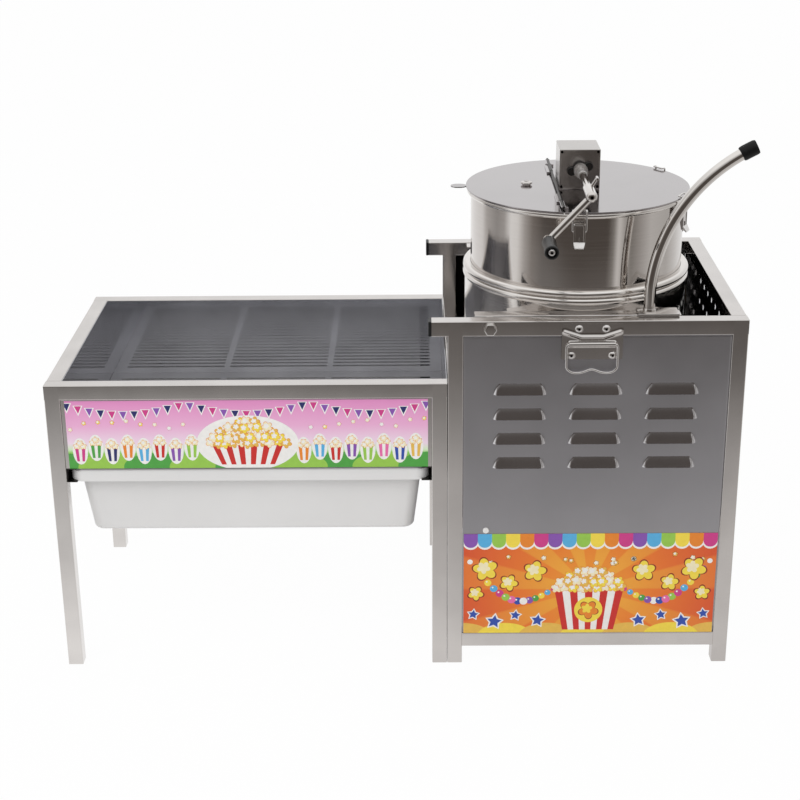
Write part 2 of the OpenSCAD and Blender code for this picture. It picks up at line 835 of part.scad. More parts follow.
module pot_bowl() {
    color(pale_steel) translate([pot_x, mid_y, 0]) rotate_extrude($fn = 128) {
        translate([pot_r - pot_sheet, bowl_top]) square([pot_sheet, rim_z - rim_bead_r - bowl_top]);
        translate([rim_r - rim_bead_r, rim_z - rim_bead_r]) circle(r = rim_bead_r);
        intersection() {
            translate([0, bowl_centre]) difference() {
                circle(r = bowl_r, $fn = 256);
                circle(r = bowl_r - pot_sheet, $fn = 256);
            }
            translate([0, bowl_bottom - 1]) square([pot_r, bowl_depth + 1 + pot_sheet]);
        }
    }
}

module lever_bracket() {
    y0 = cab_y + tube - bracket_lap;
    color(steel) translate([lever_x - bracket_left, y0, bracket_z])
        cube([bracket_left + bracket_right, bar_y + tube - y0, bracket_t]);
}

// Places a section to be swept along the lever's bend, from one angle to another
module lever_sweep(from, to) {
    translate([lever_x + lever_bend_r, lever_y, bend_z]) rotate([90, 0, 0]) rotate([0, 0, 180 - to])
        rotate_extrude(angle = to - from, $fn = 256) translate([lever_bend_r, 0]) children();
}

// Bent tube that starts in a solid foot
module lever_tube() {
    tube_turn = lever_turn - (cap_wall + weld_gap) / lever_bend_r * 180 / PI;
    color(steel) {
        translate([lever_x, lever_y, lever_z]) cylinder(h = lever_foot + 3, r = lever_r + 1);
        lever_sweep(0, tube_turn) difference() {
            circle(r = lever_r);
            circle(r = lever_r - lever_wall);
        }
    }
}

module lever_cap() {
    end_turn = cap_wall / lever_bend_r * 180 / PI;
    color(black_plastic) difference() {
        lever_sweep(lever_turn - cap_turn, lever_turn) circle(r = cap_r);
        lever_sweep(lever_turn - cap_turn - 1, lever_turn - end_turn) circle(r = lever_r + bolt_hole_gap);
    }
}

// One side of the round lid: side is -1 for the flap and 1 for the fixed part
module lid_side(side) {
    intersection() {
        translate([pot_x, mid_y, lid_z]) cylinder(h = lid_t, r = lid_r, $fn = 128);
        translate([hinge_x + (side < 0 ? -2 * lid_r - seam / 2 : seam / 2), mid_y - lid_r - 1, lid_z - 1])
            cube([2 * lid_r, 2 * lid_r + 2, lid_t + 2]);
    }
}

// Knuckle tube with its leaf, from y0 to y1 along the hinge rod
module knuckle(side, y0, y1, bore) {
    inner = seam / 2 + weld_gap;
    difference() {
        union() {
            round_y(hinge_x, hinge_z, knuckle_r, y0, y1);
            translate([hinge_x + (side < 0 ? -leaf_w : inner), y0, lid_top - eps])
                cube([leaf_w - inner, y1 - y0, leaf_t]);
        }
        round_y(hinge_x, hinge_z, bore, y0 - 1, y1 + 1);
    }
}

module lid_plate() {
    end = mid_y - rod_half;
    color(steel) {
        difference() {
            lid_side(1);
            translate([pot_x, mid_y, lid_z - 1]) cylinder(h = lid_t + 2, r = bush_r + bolt_hole_gap);
        }
        front_and_rear() knuckle(1, end, end + lid_knuckle_l, hinge_rod_r + bolt_hole_gap);
    }
}

module flap_hinge_rod() {
    color(pale_steel) round_y(hinge_x, hinge_z, hinge_rod_r, mid_y - rod_half - 2, mid_y + rod_half + 2);
}

module lid_flap() {
    y0 = mid_y - rod_half + lid_knuckle_l + knuckle_gap;
    tab_x = pot_x - lid_r - tab_l + tab_w / 2;
    color(steel) {
        lid_side(-1);
        translate([tab_x, mid_y - tab_w / 2, lid_z]) cube([tab_l + 10, tab_w, lid_t]);
        translate([tab_x, mid_y, lid_z]) cylinder(h = lid_t, r = tab_w / 2);
        front_and_rear() knuckle(-1, y0, y0 + flap_knuckle_l, hinge_rod_r + run_fit);
    }
}

module flap_knob() {
    dome_r = (knob_r * knob_r + 9) / 6;
    color(pale_steel) translate([pot_x - knob_shift, mid_y, lid_top]) intersection() {
        cylinder(h = knob_h, r = knob_r);
        translate([0, 0, knob_h - dome_r]) sphere(r = dome_r, $fn = 96);
    }
}

module gearbox_case() {
    color(dark_steel) difference() {
        translate([pot_x - box_w / 2, box_front, lid_top]) cube([box_w, box_d, box_h]);
        translate([pot_x - box_w / 2 + box_sheet, box_front + box_sheet, lid_top - 1])
            cube([box_w - 2 * box_sheet, box_d - 2 * box_sheet, box_h + 1 - box_sheet]);
        round_y(pot_x, crank_z, shaft_r + 2, box_front - 1, box_back + 1);
        front_and_rear() for (s = [-1, 1]) {
            round_y(pot_x + s * flange_ear * cos(flange_tilt), crank_z + s * flange_ear * sin(flange_tilt),
                flange_bolt_r + bolt_hole_gap, box_front - 1, box_front + box_sheet + 1);
        }
    }
}

module bearing_flanges() {
    color(black_plastic) front_and_rear() difference() {
        translate([pot_x, box_front, crank_z]) rotate([90, -flange_tilt, 0]) linear_extrude(height = flange_t)
            link_2d(flange_hub_r, flange_ear_r, flange_ear);
        round_y(pot_x, crank_z, shaft_r + run_fit, box_front - flange_t - 1, box_front + 1);
        for (s = [-1, 1]) {
            round_y(pot_x + s * flange_ear * cos(flange_tilt), crank_z + s * flange_ear * sin(flange_tilt),
                flange_bolt_r + bolt_hole_gap, box_front - flange_t - 1, box_front + 1);
        }
    }
}

module flange_bolts() {
    color(iron) front_and_rear() for (s = [-1, 1]) {
        x = pot_x + s * flange_ear * cos(flange_tilt);
        z = crank_z + s * flange_ear * sin(flange_tilt);
        round_y(x, z, flange_head_r, box_front - flange_t - flange_bolt_head, box_front - flange_t, 6);
        round_y(x, z, flange_bolt_r, box_front - flange_t - eps, box_front + box_sheet + 2);
    }
}

module stirrer_bush() {
    color(brass_tone) translate([pot_x, mid_y, 0]) difference() {
        union() {
            translate([0, 0, lid_top]) cylinder(h = bush_flange_t, r = bush_flange_r);
            translate([0, 0, lid_top - bush_drop]) cylinder(h = bush_drop + 1, r = bush_r);
        }
        translate([0, 0, lid_top - bush_drop - 1])
            cylinder(h = bush_drop + bush_flange_t + 2, r = shaft_r + run_fit);
    }
}

module crank_shaft() {
    color(pale_steel) round_y(pot_x, crank_z, shaft_r, crank_front, box_back + flange_t + 3);
}

// Straight bevel teeth that narrow towards the point where the two shafts' axes meet
module bevel_teeth(phase) {
    pitch = 360 / gear_teeth;
    tip = gear_r + gear_addendum;
    root = gear_r - gear_dedendum;
    half = [pitch * 0.33, pitch * 0.12];
    linear_extrude(height = gear_h, scale = (gear_r - gear_h) / gear_r) rotate(phase * pitch) difference() {
        polygon([for (i = [0:gear_teeth - 1]) each [
            [root * cos(i * pitch - half[0]), root * sin(i * pitch - half[0])],
            [tip * cos(i * pitch - half[1]), tip * sin(i * pitch - half[1])],
            [tip * cos(i * pitch + half[1]), tip * sin(i * pitch + half[1])],
            [root * cos(i * pitch + half[0]), root * sin(i * pitch + half[0])]]]);
        circle(r = gear_hub_r);
    }
}

// Gear along +Z with its teeth's large end at z = 0 and its hub below
module bevel_gear(phase, hub_l) {
    bevel_teeth(phase);
    difference() {
        translate([0, 0, -hub_l]) cylinder(h = hub_l + gear_h, r = gear_hub_r + 0.5);
        translate([0, 0, -hub_l - 1]) cylinder(h = hub_l + gear_h + 2, r = shaft_r + run_fit);
    }
}

module crank_gear() {
    color(iron) translate([pot_x, mid_y - gear_r, crank_z]) rotate([-90, 0, 0]) rotate([0, 0, 90])
        bevel_gear(0, box_d / 2 - gear_r - box_sheet - 1);
}

module stirrer_gear() {
    color(iron) translate([pot_x, mid_y, crank_z - gear_r]) rotate([0, 0, -90])
        bevel_gear(0.5, crank_rise - gear_r - bush_flange_t - weld_gap);
}

module shaft_collar() {
    y1 = box_front - flange_t - flange_bolt_head - pass_gap;
    color(pale_steel) difference() {
        union() {
            round_y(pot_x, crank_z, collar_nut_r, y1 - collar_nut_l, y1);
            round_y(pot_x, crank_z, collar_sleeve_r, y1 - collar_nut_l - collar_sleeve_l, y1 - 1);
        }
        round_y(pot_x, crank_z, shaft_r + run_fit, y1 - collar_nut_l - collar_sleeve_l - 1, y1 + 1);
    }
}

module crank_hub() {
    color(steel) difference() {
        round_y(pot_x, crank_z, hub_r, crank_front, crank_front + hub_l);
        round_y(pot_x, crank_z, shaft_r + run_fit, crank_front - 1, crank_front + hub_l + 1);
        clamp_place() cylinder(h = hub_r + 2, r = clamp_r + run_fit);
    }
}

// Frame of the clamp screw: its axis along +Z, out of the hub
module clamp_place() {
    translate([pot_x, crank_front + hub_l - clamp_back, crank_z]) rotate([0, 90 - clamp_angle, 0]) children();
}

module clamp_screw() {
    top = hub_r + clamp_l;
    half = clamp_bar_l / 2;
    color(pale_steel) clamp_place() {
        translate([0, 0, shaft_r + weld_gap]) cylinder(h = top - shaft_r - weld_gap, r = clamp_r);
        rotate([0, 0, 50]) rod([-half, 0, top], [half, 0, top], clamp_bar_r);
    }
}

// Arm from the hub to the grip's axis, with a boss for the grip bolt
module crank_arm() {
    color(steel) difference() {
        union() {
            rod([pot_x, arm_y, crank_z], [grip_x, arm_y, grip_z], arm_r);
            round_y(grip_x, grip_z, boss_r, arm_y - boss_l / 2, arm_y + boss_l / 2);
        }
        round_y(pot_x, crank_z, hub_r + bolt_hole_gap / 2, crank_front - 1, crank_front + hub_l);
        round_y(grip_x, grip_z, grip_bolt_r + bolt_hole_gap / 2, arm_y - boss_l, arm_y + boss_l);
    }
}

module grip_bolt() {
    front = mid_y - grip_front;
    color(pale_steel) {
        round_y(grip_x, grip_z, grip_bolt_r, front + grip_recess - pass_gap - eps, arm_y + boss_l / 2);
        round_y(grip_x, grip_z, grip_head_r, front + 1 - pass_gap, front + grip_recess - pass_gap);
    }
}

module crank_grip() {
    front = mid_y - grip_front;
    edge = 1.2;
    color(black_plastic) difference() {
        translate([grip_x, front, grip_z]) rotate([-90, 0, 0]) rotate_extrude() difference() {
            square([grip_r, grip_l]);
            translate([grip_r + 98.5, grip_l * 0.55]) circle(r = 100, $fn = 256);
            translate([grip_r - edge, -1]) square([edge + 1, 1 + edge]);
        }
        round_y(grip_x, grip_z, grip_bolt_r + run_fit + 0.03, front - 1, front + grip_l + 1);
        round_y(grip_x, grip_z, grip_head_r + 1, front - 1, front + grip_recess);
    }
}

module stirrer_shaft() {
    foot = blade_bottom + 2;
    color(pale_steel) translate([pot_x, mid_y, foot]) cylinder(h = stirrer_top - foot, r = shaft_r);
}

// Two crossed blades that follow the round bottom
module stirrer_blades() {
    sweep_r = bowl_r - pot_sheet - blade_gap;
    color(steel) difference() {
        union() {
            for (a = [0, 90]) on_pot(a) translate([0, blade_t / 2, bowl_centre]) rotate([90, 0, 0])
                linear_extrude(height = blade_t) intersection() {
                    difference() {
                        circle(r = sweep_r, $fn = 256);
                        circle(r = sweep_r - blade_h, $fn = 256);
                    }
                    translate([-blade_reach, -sweep_r - 1]) square([2 * blade_reach, sweep_r]);
                }
            translate([pot_x, mid_y, blade_bottom + 1]) cylinder(h = stirrer_hub_h, r = stirrer_hub_r);
        }
        translate([pot_x, mid_y, blade_bottom + 2])
            cylinder(h = stirrer_hub_h + blade_h, r = shaft_r + run_fit);
    }
}

// Latch base: a plate on the pot's wall with two ears and the lever's pin
module latch_bases() {
    plate_h = 34;
    ear_h = 10;
    ear_x = latch_base_in + latch_base_t / 2;
    plate_z = latch_pin_z - plate_h + ear_h / 2 + 2;
    color(pale_steel) for (a = latch_angles) on_pot(a) {
        translate([latch_base_in, -latch_ear_out, plate_z]) cube([latch_base_t, 2 * latch_ear_out, plate_h]);
        for (y = [latch_ear_in, -latch_ear_out]) {
            translate([ear_x, y, latch_pin_z - ear_h / 2])
                cube([latch_pin_at + latch_pin_r + 1.5 - ear_x, latch_plate, ear_h]);
        }
        translate([latch_pin_at, -latch_side_out, latch_pin_z]) rotate([-90, 0, 0])
            cylinder(h = 2 * latch_side_out, r = latch_pin_r);
    }
}

// Latch lever: a channel on the base's pin, with a lip at its lower end
module latch_lever(angle) {
    bottom = latch_pin_z - latch_l;
    lip = 5;
    side_r = 3.2;
    front = latch_face + latch_plate / 2;
    color(pale_steel) on_pot(angle) difference() {
        union() {
            translate([latch_face, -latch_side_out, bottom])
                cube([latch_plate, latch_w, latch_l + latch_plate * 3]);
            translate([latch_face + 0.4, -latch_side_out, bottom + 0.9]) rotate([0, 120, 0])
                cube([latch_plate, latch_w, lip]);
            for (s = [-1, 1]) {
                translate([0, s > 0 ? latch_side_in + latch_plate : -latch_side_in, 0]) rotate([90, 0, 0])
                    linear_extrude(height = latch_plate) {
                        translate([latch_pin_at, latch_pin_z]) circle(r = latch_round);
                        polygon([[latch_pin_at, latch_pin_z + latch_round - 0.4],
                            [front, latch_pin_z - 3], [front, bottom + 4],
                            [latch_face - 2, bottom + 4], [bail_at - side_r, bail_z - side_r - 1],
                            [latch_pin_at - 2, latch_pin_z - latch_round + 0.6]]);
                    }
            }
        }
        translate([latch_pin_at, -latch_w, latch_pin_z]) rotate([-90, 0, 0])
            cylinder(h = 2 * latch_w, r = latch_pin_r + run_fit);
        translate([bail_at, -latch_w, bail_z]) rotate([-90, 0, 0])
            cylinder(h = 2 * latch_w, r = latch_wire_r + run_fit);
    }
}

// Latch bail: a wire loop from the lever up and over the lid's edge
module latch_bail(angle) {
    inner = latch_side_in - 1.5;
    left = [[bail_at, -inner, bail_z], [bail_at, -bail_half, bail_z], [bail_at, -bail_half, bail_top],
        [bail_at - bail_hook, -bail_half, bail_top]];
    right = [for (i = [len(left) - 1:-1:0]) [left[i][0], -left[i][1], left[i][2]]];
    color(pale_steel) on_pot(angle) wire(concat(left, right), latch_wire_r);
}

module front_latch_lever() {
    latch_lever(latch_angles[0]);
}

module right_latch_lever() {
    latch_lever(latch_angles[1]);
}

module rear_latch_lever() {
    latch_lever(latch_angles[2]);
}

module front_latch_bail() {
    latch_bail(latch_angles[0]);
}

module right_latch_bail() {
    latch_bail(latch_angles[1]);
}

module rear_latch_bail() {
    latch_bail(latch_angles[2]);
}

module table_legs() {
    color(steel) four_legs(table_x, table_x1, cab_y, table_y1, table_rail_z);
}

// The right rail lies under the tray, which is open to the pot at that side
module table_top_rails() {
    color(steel) {
        for (y = [cab_y, table_y1 - tube]) {
            translate([table_x, y, table_rail_z]) square_tube([table_l, tube, tube], 0, [tube_wall, 0]);
        }
        for (at = [[table_x, table_rail_z], [table_x1 - tube, tray_bottom - weld_gap - tube]]) {
            translate([at[0], cab_y + tube + weld_gap, at[1]])
                square_tube([tube, table_d - 2 * (tube + weld_gap), tube], 1);
        }
    }
}

// Tray walls inside the rails, with a lip at the bottom that carries the sieve
module tray_walls() {
    top = table_h - tray_drop;
    color(dark_steel) difference() {
        translate([tray_x, tray_y, tray_bottom]) cube([tray_w, tray_d, top - tray_bottom]);
        translate([tray_x + sheet, tray_y + sheet, tray_bottom + sheet])
            cube([tray_w - 2 * sheet, tray_d - 2 * sheet, top]);
        translate([tray_x + tray_lip, tray_y + tray_lip, tray_bottom - 1])
            cube([tray_w - 2 * tray_lip, tray_d - 2 * tray_lip, sheet + 2]);
    }
}

module sieve_plate() {
    w = tray_w - 2 * (sheet + weld_gap);
    d = tray_d - 2 * (sheet + weld_gap);
    across = floor((w - 2 * tray_lip - slot_l) / slot_pitch_x / 2);
    along = floor((d - 2 * tray_lip - slot_w) / slot_pitch_y / 2);
    color(steel) translate([tray_x + tray_w / 2, tray_y + tray_d / 2, tray_bottom + sheet])
        linear_extrude(height = sheet) difference() {
            square([w, d], center = true);
            for (i = [-across:across]) {
                for (j = [-along:along]) {
                    translate([i * slot_pitch_x, j * slot_pitch_y]) slot_2d(slot_l, slot_w);
                }
            }
        }
}

module table_print() {
    x0 = table_x + tube + panel_gap;
    color("hotpink") translate([x0, cab_y + 3, tray_bottom])
        cube([table_l - 2 * (tube + panel_gap), sheet + print_t, table_rail_z - panel_gap - tray_bottom]);
}

// Channels under the tray that the tub's rim slides in
module tub_runners() {
    y0 = cab_y + 2;
    d = table_d - 4;
    color(steel) for (s = [-1, 1]) {
        x = s < 0 ? table_x + tube + weld_gap : table_x1 - tube - weld_gap - runner_w;
        translate([x, y0, runner_z]) difference() {
            cube([runner_w, d, runner_h]);
            translate([s < 0 ? runner_sheet : -1, -1, runner_sheet])
                cube([runner_w - runner_sheet + 1, d + 2, runner_h - 2 * runner_sheet]);
        }
    }
}

// Box with round upright corners that narrows from its top to its bottom
module tub_body(inset, bottom, top) {
    r = tub_corner_r - inset / 2;
    hull() {
        for (level = [[bottom, tub_taper], [top, 0]]) {
            in = tub_rim_w + inset + level[1] + r;
            for (x = [tub_x + in, tub_x + tub_w - in]) {
                for (y = [tub_y + in, tub_y + tub_d - in]) {
                    translate([x, y, level[0]]) cylinder(h = eps, r = r, $fn = 32);
                }
            }
        }
    }
}

module kernel_tub() {
    bottom = tub_top - tub_h;
    r = tub_corner_r;
    color(white_plastic) difference() {
        union() {
            tub_body(0, bottom, tub_top - eps);
            translate([tub_x + r, tub_y, tub_top - tub_rim_t]) cube([tub_w - 2 * r, tub_d, tub_rim_t]);
            translate([tub_x, tub_y + r, tub_top - tub_rim_t]) cube([tub_w, tub_d - 2 * r, tub_rim_t]);
            for (x = [tub_x + r, tub_x + tub_w - r]) {
                for (y = [tub_y + r, tub_y + tub_d - r]) {
                    translate([x, y, tub_top - tub_rim_t]) cylinder(h = tub_rim_t, r = r);
                }
            }
        }
        tub_body(tub_wall, bottom + tub_wall, tub_top + 1);
    }
}

cabinet_legs();
cabinet_top_rails();
cabinet_cross_rails();
rail_end_plugs();
front_panel();
rear_panel();
right_panel();
left_panel();
cabinet_print();
panel_hole_plug();
handle_plates();
handle_screws();
front_handle_bail();
rear_handle_bail();
pivot_bolts();
pivot_washers();
pivot_nuts();
burner_bars();
burner_ring();
gas_pipe();
tilt_bars();
pivot_sleeves();
drum();
pot_bowl();
lever_bracket();
lever_tube();
lever_cap();
lid_plate();
flap_hinge_rod();
gearbox_case();
bearing_flanges();
flange_bolts();
stirrer_bush();
latch_bases();
lid_flap();
flap_knob();
crank_shaft();
crank_gear();
shaft_collar();
crank_hub();
crank_arm();
grip_bolt();
crank_grip();
clamp_screw();
stirrer_shaft();
stirrer_gear();
stirrer_blades();
front_latch_lever();
right_latch_lever();
rear_latch_lever();
front_latch_bail();
right_latch_bail();
rear_latch_bail();
table_legs();
table_top_rails();
tray_walls();
sieve_plate();
table_print();
tub_runners();
kernel_tub();
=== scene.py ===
import math
import random

import bmesh
import bpy
from mathutils import Matrix, Vector


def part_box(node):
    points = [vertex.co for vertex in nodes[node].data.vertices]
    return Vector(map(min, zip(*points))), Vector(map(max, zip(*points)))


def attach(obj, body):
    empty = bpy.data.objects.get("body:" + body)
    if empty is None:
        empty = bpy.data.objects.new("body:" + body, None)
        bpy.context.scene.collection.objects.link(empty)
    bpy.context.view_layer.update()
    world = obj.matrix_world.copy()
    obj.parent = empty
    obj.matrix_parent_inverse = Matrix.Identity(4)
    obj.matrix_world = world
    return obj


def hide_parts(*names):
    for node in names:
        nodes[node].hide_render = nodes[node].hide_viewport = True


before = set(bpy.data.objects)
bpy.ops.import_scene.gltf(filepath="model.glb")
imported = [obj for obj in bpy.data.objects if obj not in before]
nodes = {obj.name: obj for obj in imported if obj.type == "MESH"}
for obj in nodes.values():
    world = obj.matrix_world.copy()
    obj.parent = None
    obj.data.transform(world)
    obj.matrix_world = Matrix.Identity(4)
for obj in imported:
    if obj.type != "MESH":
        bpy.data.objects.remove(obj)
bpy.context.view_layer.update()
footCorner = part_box("cabinet_legs")[0]
# pieces are drawn in millimetres from the cabinet's front left foot, then set into the frame in metres
place = Matrix.Translation((footCorner.x, footCorner.y, 0)) @ Matrix.Scale(0.001, 4)
pot = {"x": 224, "y": 245}  # the pot's axis, from that foot
print("frame loaded:", len(nodes), "nodes")


def hexColor(code):
    parts = [int(code[i:i + 2], 16) / 255 for i in (1, 3, 5)]
    return [c / 12.92 if c <= 0.04045 else ((c + 0.055) / 1.055) ** 2.4 for c in parts] + [1]


def shaded(code, share):
    return [min(1, c * share) for c in hexColor(code)[:3]] + [1]


def addNode(tree, kind, links=None, values=None, **settings):
    node = tree.nodes.new("ShaderNode" + kind)
    for key, value in settings.items():
        setattr(node, key, value)
    for key, value in (values or {}).items():
        node.inputs[key].default_value = value
    for key, source in (links or {}).items():
        tree.links.new(source, node.inputs[key])
    return node


def startMaterial(name, values):
    material = bpy.data.materials.new(name)
    material.use_nodes = True
    tree = material.node_tree
    shader = tree.nodes["Principled BSDF"]
    for key, value in values.items():
        shader.inputs[key].default_value = value
    return material, tree, shader, addNode(tree, "TexCoord")


# stops are (position, colour), the colour as a hex code or already linear
def setRamp(node, stops):
    ramp = node.color_ramp
    while len(ramp.elements) < len(stops):
        ramp.elements.new(0.5)
    for element, (at, colour) in zip(ramp.elements, stops):
        element.position = at
        element.color = hexColor(colour) if isinstance(colour, str) else colour


# noise whose grain is stretched to the given millimetres along x, y and z
def stretchedNoise(tree, coords, sizes, detail=3):
    at = addNode(tree, "Mapping", {"Vector": coords.outputs["Object"]},
                 {"Scale": [1000 / size for size in sizes]})
    noise = addNode(tree, "TexNoise", {"Vector": at.outputs["Vector"]}, {"Scale": 1, "Detail": detail})
    return noise.outputs["Fac"]


# what every finish ends with: a tone that drifts, a gloss that varies and a fine relief, each led by a noise
def dressSurface(tree, shader, tones, stops, gloss, rough, relief, strength, depth):
    tint = addNode(tree, "ValToRGB", {"Fac": tones})
    setRamp(tint, stops)
    spread = addNode(tree, "MapRange", {"Value": gloss},
                     {"From Min": 0.3, "From Max": 0.7, "To Min": rough[0], "To Max": rough[1]})
    bump = addNode(tree, "Bump", {"Height": relief}, {"Strength": strength, "Distance": depth * 0.001})
    for node, output, socket in ((tint, "Color", "Base Color"), (spread, "Result", "Roughness"),
                                 (bump, "Normal", "Normal")):
        tree.links.new(node.outputs[output], shader.inputs[socket])
    return tint.outputs["Color"]


# metal sheet, tube or bar: fine marks of its polishing run along the grain, with fainter smears of handling; one side
# can be painted dark as shade
def metal(name, colour, roughness, grain, markWidth=1.2, markLength=60, markDepth=0.02, spread=0.05, smear=0.05,
          paintedShadeSide=None):
    material, tree, shader, coords = startMaterial(name, {"Metallic": 1})
    marks = stretchedNoise(tree, coords, [markLength if i == grain else markWidth for i in range(3)])
    smears = stretchedNoise(tree, coords, [90] * 3, 4)
    both = addNode(tree, "Mix", {"A": marks, "B": smears}, {"Factor": 0.5})
    stops = [(0.35, shaded(colour, 1 - smear)), (0.65, shaded(colour, 1 + smear))]
    tint = dressSurface(tree, shader, smears, stops, both.outputs["Result"],
                        (max(0.02, roughness - spread), roughness + spread), marks, 0.35, markDepth)
    if paintedShadeSide:  # painted shade: the face that looks this way is painted dark, standing in for the shade inside the cabinet
        axis, sign, shadeColour = paintedShadeSide
        facing = addNode(tree, "SeparateXYZ", {"Vector": coords.outputs["Normal"]})
        side = addNode(tree, "Math", {0: facing.outputs[axis]}, {1: 0.5 * sign},
                       operation="GREATER_THAN" if sign > 0 else "LESS_THAN")
        mixed = addNode(tree, "Mix", {0: side.outputs[0], 6: tint}, {7: hexColor(shadeColour)}, data_type="RGBA")
        tree.links.new(mixed.outputs[2], shader.inputs["Base Color"])
    return material


# mirror-polished spun steel: almost no marks, but the wall is never quite true, so reflections wander
def spunMirror(name, colour, roughness, wave=0.35, waveLength=130):
    material, tree, shader, coords = startMaterial(name, {"Metallic": 1})
    waves = stretchedNoise(tree, coords, [waveLength, waveLength, waveLength * 2.5], 1)
    rings = stretchedNoise(tree, coords, [125, 125, 1.1])
    stops = [(0.3, shaded(colour, 0.97)), (0.7, shaded(colour, 1.03))]
    dressSurface(tree, shader, rings, stops, rings, (roughness * 0.6, roughness * 1.5), waves, 1.0, wave)
    return material


# moulded plastic or rubber: a fine sparked texture breaks the gloss, and the tone drifts a little
def moulded(name, colour, roughness, specular=0.5, grit=0.6, depth=0.03, drift=0.04):
    material, tree, shader, coords = startMaterial(name, {"IOR": 1.49, "Specular IOR Level": specular})
    grits = stretchedNoise(tree, coords, [grit] * 3, 2)
    tones = stretchedNoise(tree, coords, [140] * 3)
    stops = [(0.3, shaded(colour, 1 - drift)), (0.7, shaded(colour, 1 + drift))]
    dressSurface(tree, shader, tones, stops, tones, (roughness - 0.05, roughness + 0.05), grits, 0.3, depth)
    return material


steel = {
    "tubeX": metal("stainless tube polished along x", "#d4d0cd", 0.14, 0),
    "tubeY": metal("stainless tube polished along y", "#d4d0cd", 0.14, 1),
    "tubeZ": metal("stainless tube polished along z", "#d4d0cd", 0.14, 2),
    "front": metal("stainless sheet satin upright grain", "#b7b6ba", 0.38, 2, markLength=140, smear=0.03),
    # painted highlight: the louvre hoods are a paler copy of the front sheet so their curved ends shine brighter
    "hood": metal("stainless sheet pressed louvre painted paler as highlight", "#dcdbde", 0.15, 2, markLength=30, spread=0.03),
    "side": metal("stainless sheet satin side", "#adadb0", 0.33, 2, markLength=140),
    # painted shade: the inner faces of the cabinet's sheets are painted near black, standing in for the shade inside
    # the cabinet
    "vented": metal("stainless sheet satin outside painted dark inside as shade", "#adadb0", 0.33, 2, markLength=140,
                    paintedShadeSide=(0, -1, "#161514")),
    "shadeInside": metal("stainless sheet painted dark as cabinet shade", "#161514", 0.45, 2, spread=0.12, smear=0.3),
    "tray": metal("stainless sheet satin level grain", "#c4c4c7", 0.075, 0, markLength=160, spread=0.02),
    "sieve": metal("stainless sheet slotted", "#d4d4d7", 0.4, 0, markLength=120),
    "pot": spunMirror("stainless steel spun and mirror polished", "#dad5d1", 0.08),
    # painted highlight: rolled beads and the drum take a paler copy of the spun steel so they read bright
    "roll": spunMirror("stainless steel rolled and polished", "#e6e2de", 0.13, wave=0.3, waveLength=60),
    "lid": metal("stainless sheet bright rolled lid", "#b3afb0", 0.1, 1, markLength=90, markDepth=0.004, spread=0.03,
                 smear=0.02),
    "case": metal("stainless sheet folded case", "#c2bebb", 0.2, 2, markLength=50),
    "turned": metal("steel bar turned and polished", "#dedad6", 0.09, 1, markLength=0.4, markWidth=8, spread=0.03),
    "lever": metal("stainless tube bent and mirror polished", "#e2deda", 0.07, 2, spread=0.03),
    "zinc": metal("steel zinc plated and knurled", "#f2f0ee", 0.32, 1, markLength=3, markWidth=3),
    "plated": metal("steel pressed and bright plated", "#d2cecb", 0.12, 2, markLength=20, spread=0.04),
    "wire": metal("steel wire bright plated", "#dcd9d7", 0.08, 2, markLength=20, spread=0.04),
    "iron": metal("cast iron blacked by heat", "#2b2927", 0.6, 0, markWidth=2, markLength=2, markDepth=0.2),
    "gear": metal("steel gear blacked and oiled", "#4a4745", 0.38, 0, markWidth=1, markLength=1),
    "brass": metal("brass turned", "#b99a55", 0.25, 1, markLength=0.5, markWidth=6),
    "hole": metal("steel in the shade of a blind hole", "#0b0a0a", 0.7, 2),
}
plasticPlug = moulded("polyethylene plug moulded black", "#0d0d0e", 0.42)
plasticGrip = moulded("phenolic grip moulded black", "#0a0a0b", 0.3, grit=0.9)
rubberCap = moulded("rubber cap moulded black", "#0b0b0c", 0.55, specular=0.3, grit=0.8)
ironFlange = moulded("cast iron flange painted black", "#141312", 0.4, grit=1.2, depth=0.08)
tubWhite = moulded("polypropylene tub moulded white", "#e6e5e4", 0.36, grit=1.4, depth=0.02, drift=0.02)
plugWhite = moulded("nylon plug moulded white", "#eeecea", 0.4)
print("materials made:", len(bpy.data.materials))


def closePiece(bm, name, body, materials, stands=(), sharp=38, wall=0, inner=0):
    bmesh.ops.transform(bm, matrix=place, verts=bm.verts[:])
    for face in bm.faces:
        face.smooth = True
    for edge in bm.edges:
        edge.smooth = len(edge.link_faces) == 2 and edge.calc_face_angle(0) < math.radians(sharp)
    mesh = bpy.data.meshes.new(name)
    bm.to_mesh(mesh)
    bm.free()
    for material in materials:
        mesh.materials.append(material)
    piece = bpy.data.objects.new(name, mesh)
    bpy.context.scene.collection.objects.link(piece)
    if wall:
        sheet = piece.modifiers.new("sheet", "SOLIDIFY")
        sheet.thickness = wall * 0.001
        sheet.offset = -1
        sheet.material_offset = inner
    shade = piece.modifiers.new("flatFacesStayFlat", "WEIGHTED_NORMAL")
    shade.keep_sharp = True
    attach(piece, body)
    if stands:
        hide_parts(*stands)
    return piece


def facesOf(verts):
    return list({f for v in verts for f in v.link_faces})


def vertsIn(geom):
    return [v for v in geom if isinstance(v, bmesh.types.BMVert)]


def newVerts(bm, before):
    return [v for v in bm.verts if v not in before]


def turnVerts(bm, verts, degrees, axis):
    bmesh.ops.rotate(bm, cent=(0, 0, 0), matrix=Matrix.Rotation(math.radians(degrees), 3, axis), verts=verts)


def bevelEdges(bm, edges, offset, segments, clamp=False):
    bmesh.ops.bevel(bm, geom=list(edges), offset=offset, offset_type="OFFSET", segments=segments, profile=0.5,
                    affect="EDGES", material=-1, clamp_overlap=clamp)


def cutPlane(bm, at, out, **cleared):
    bmesh.ops.bisect_plane(bm, geom=bm.verts[:] + bm.edges[:] + bm.faces[:], plane_co=at, plane_no=out, **cleared)


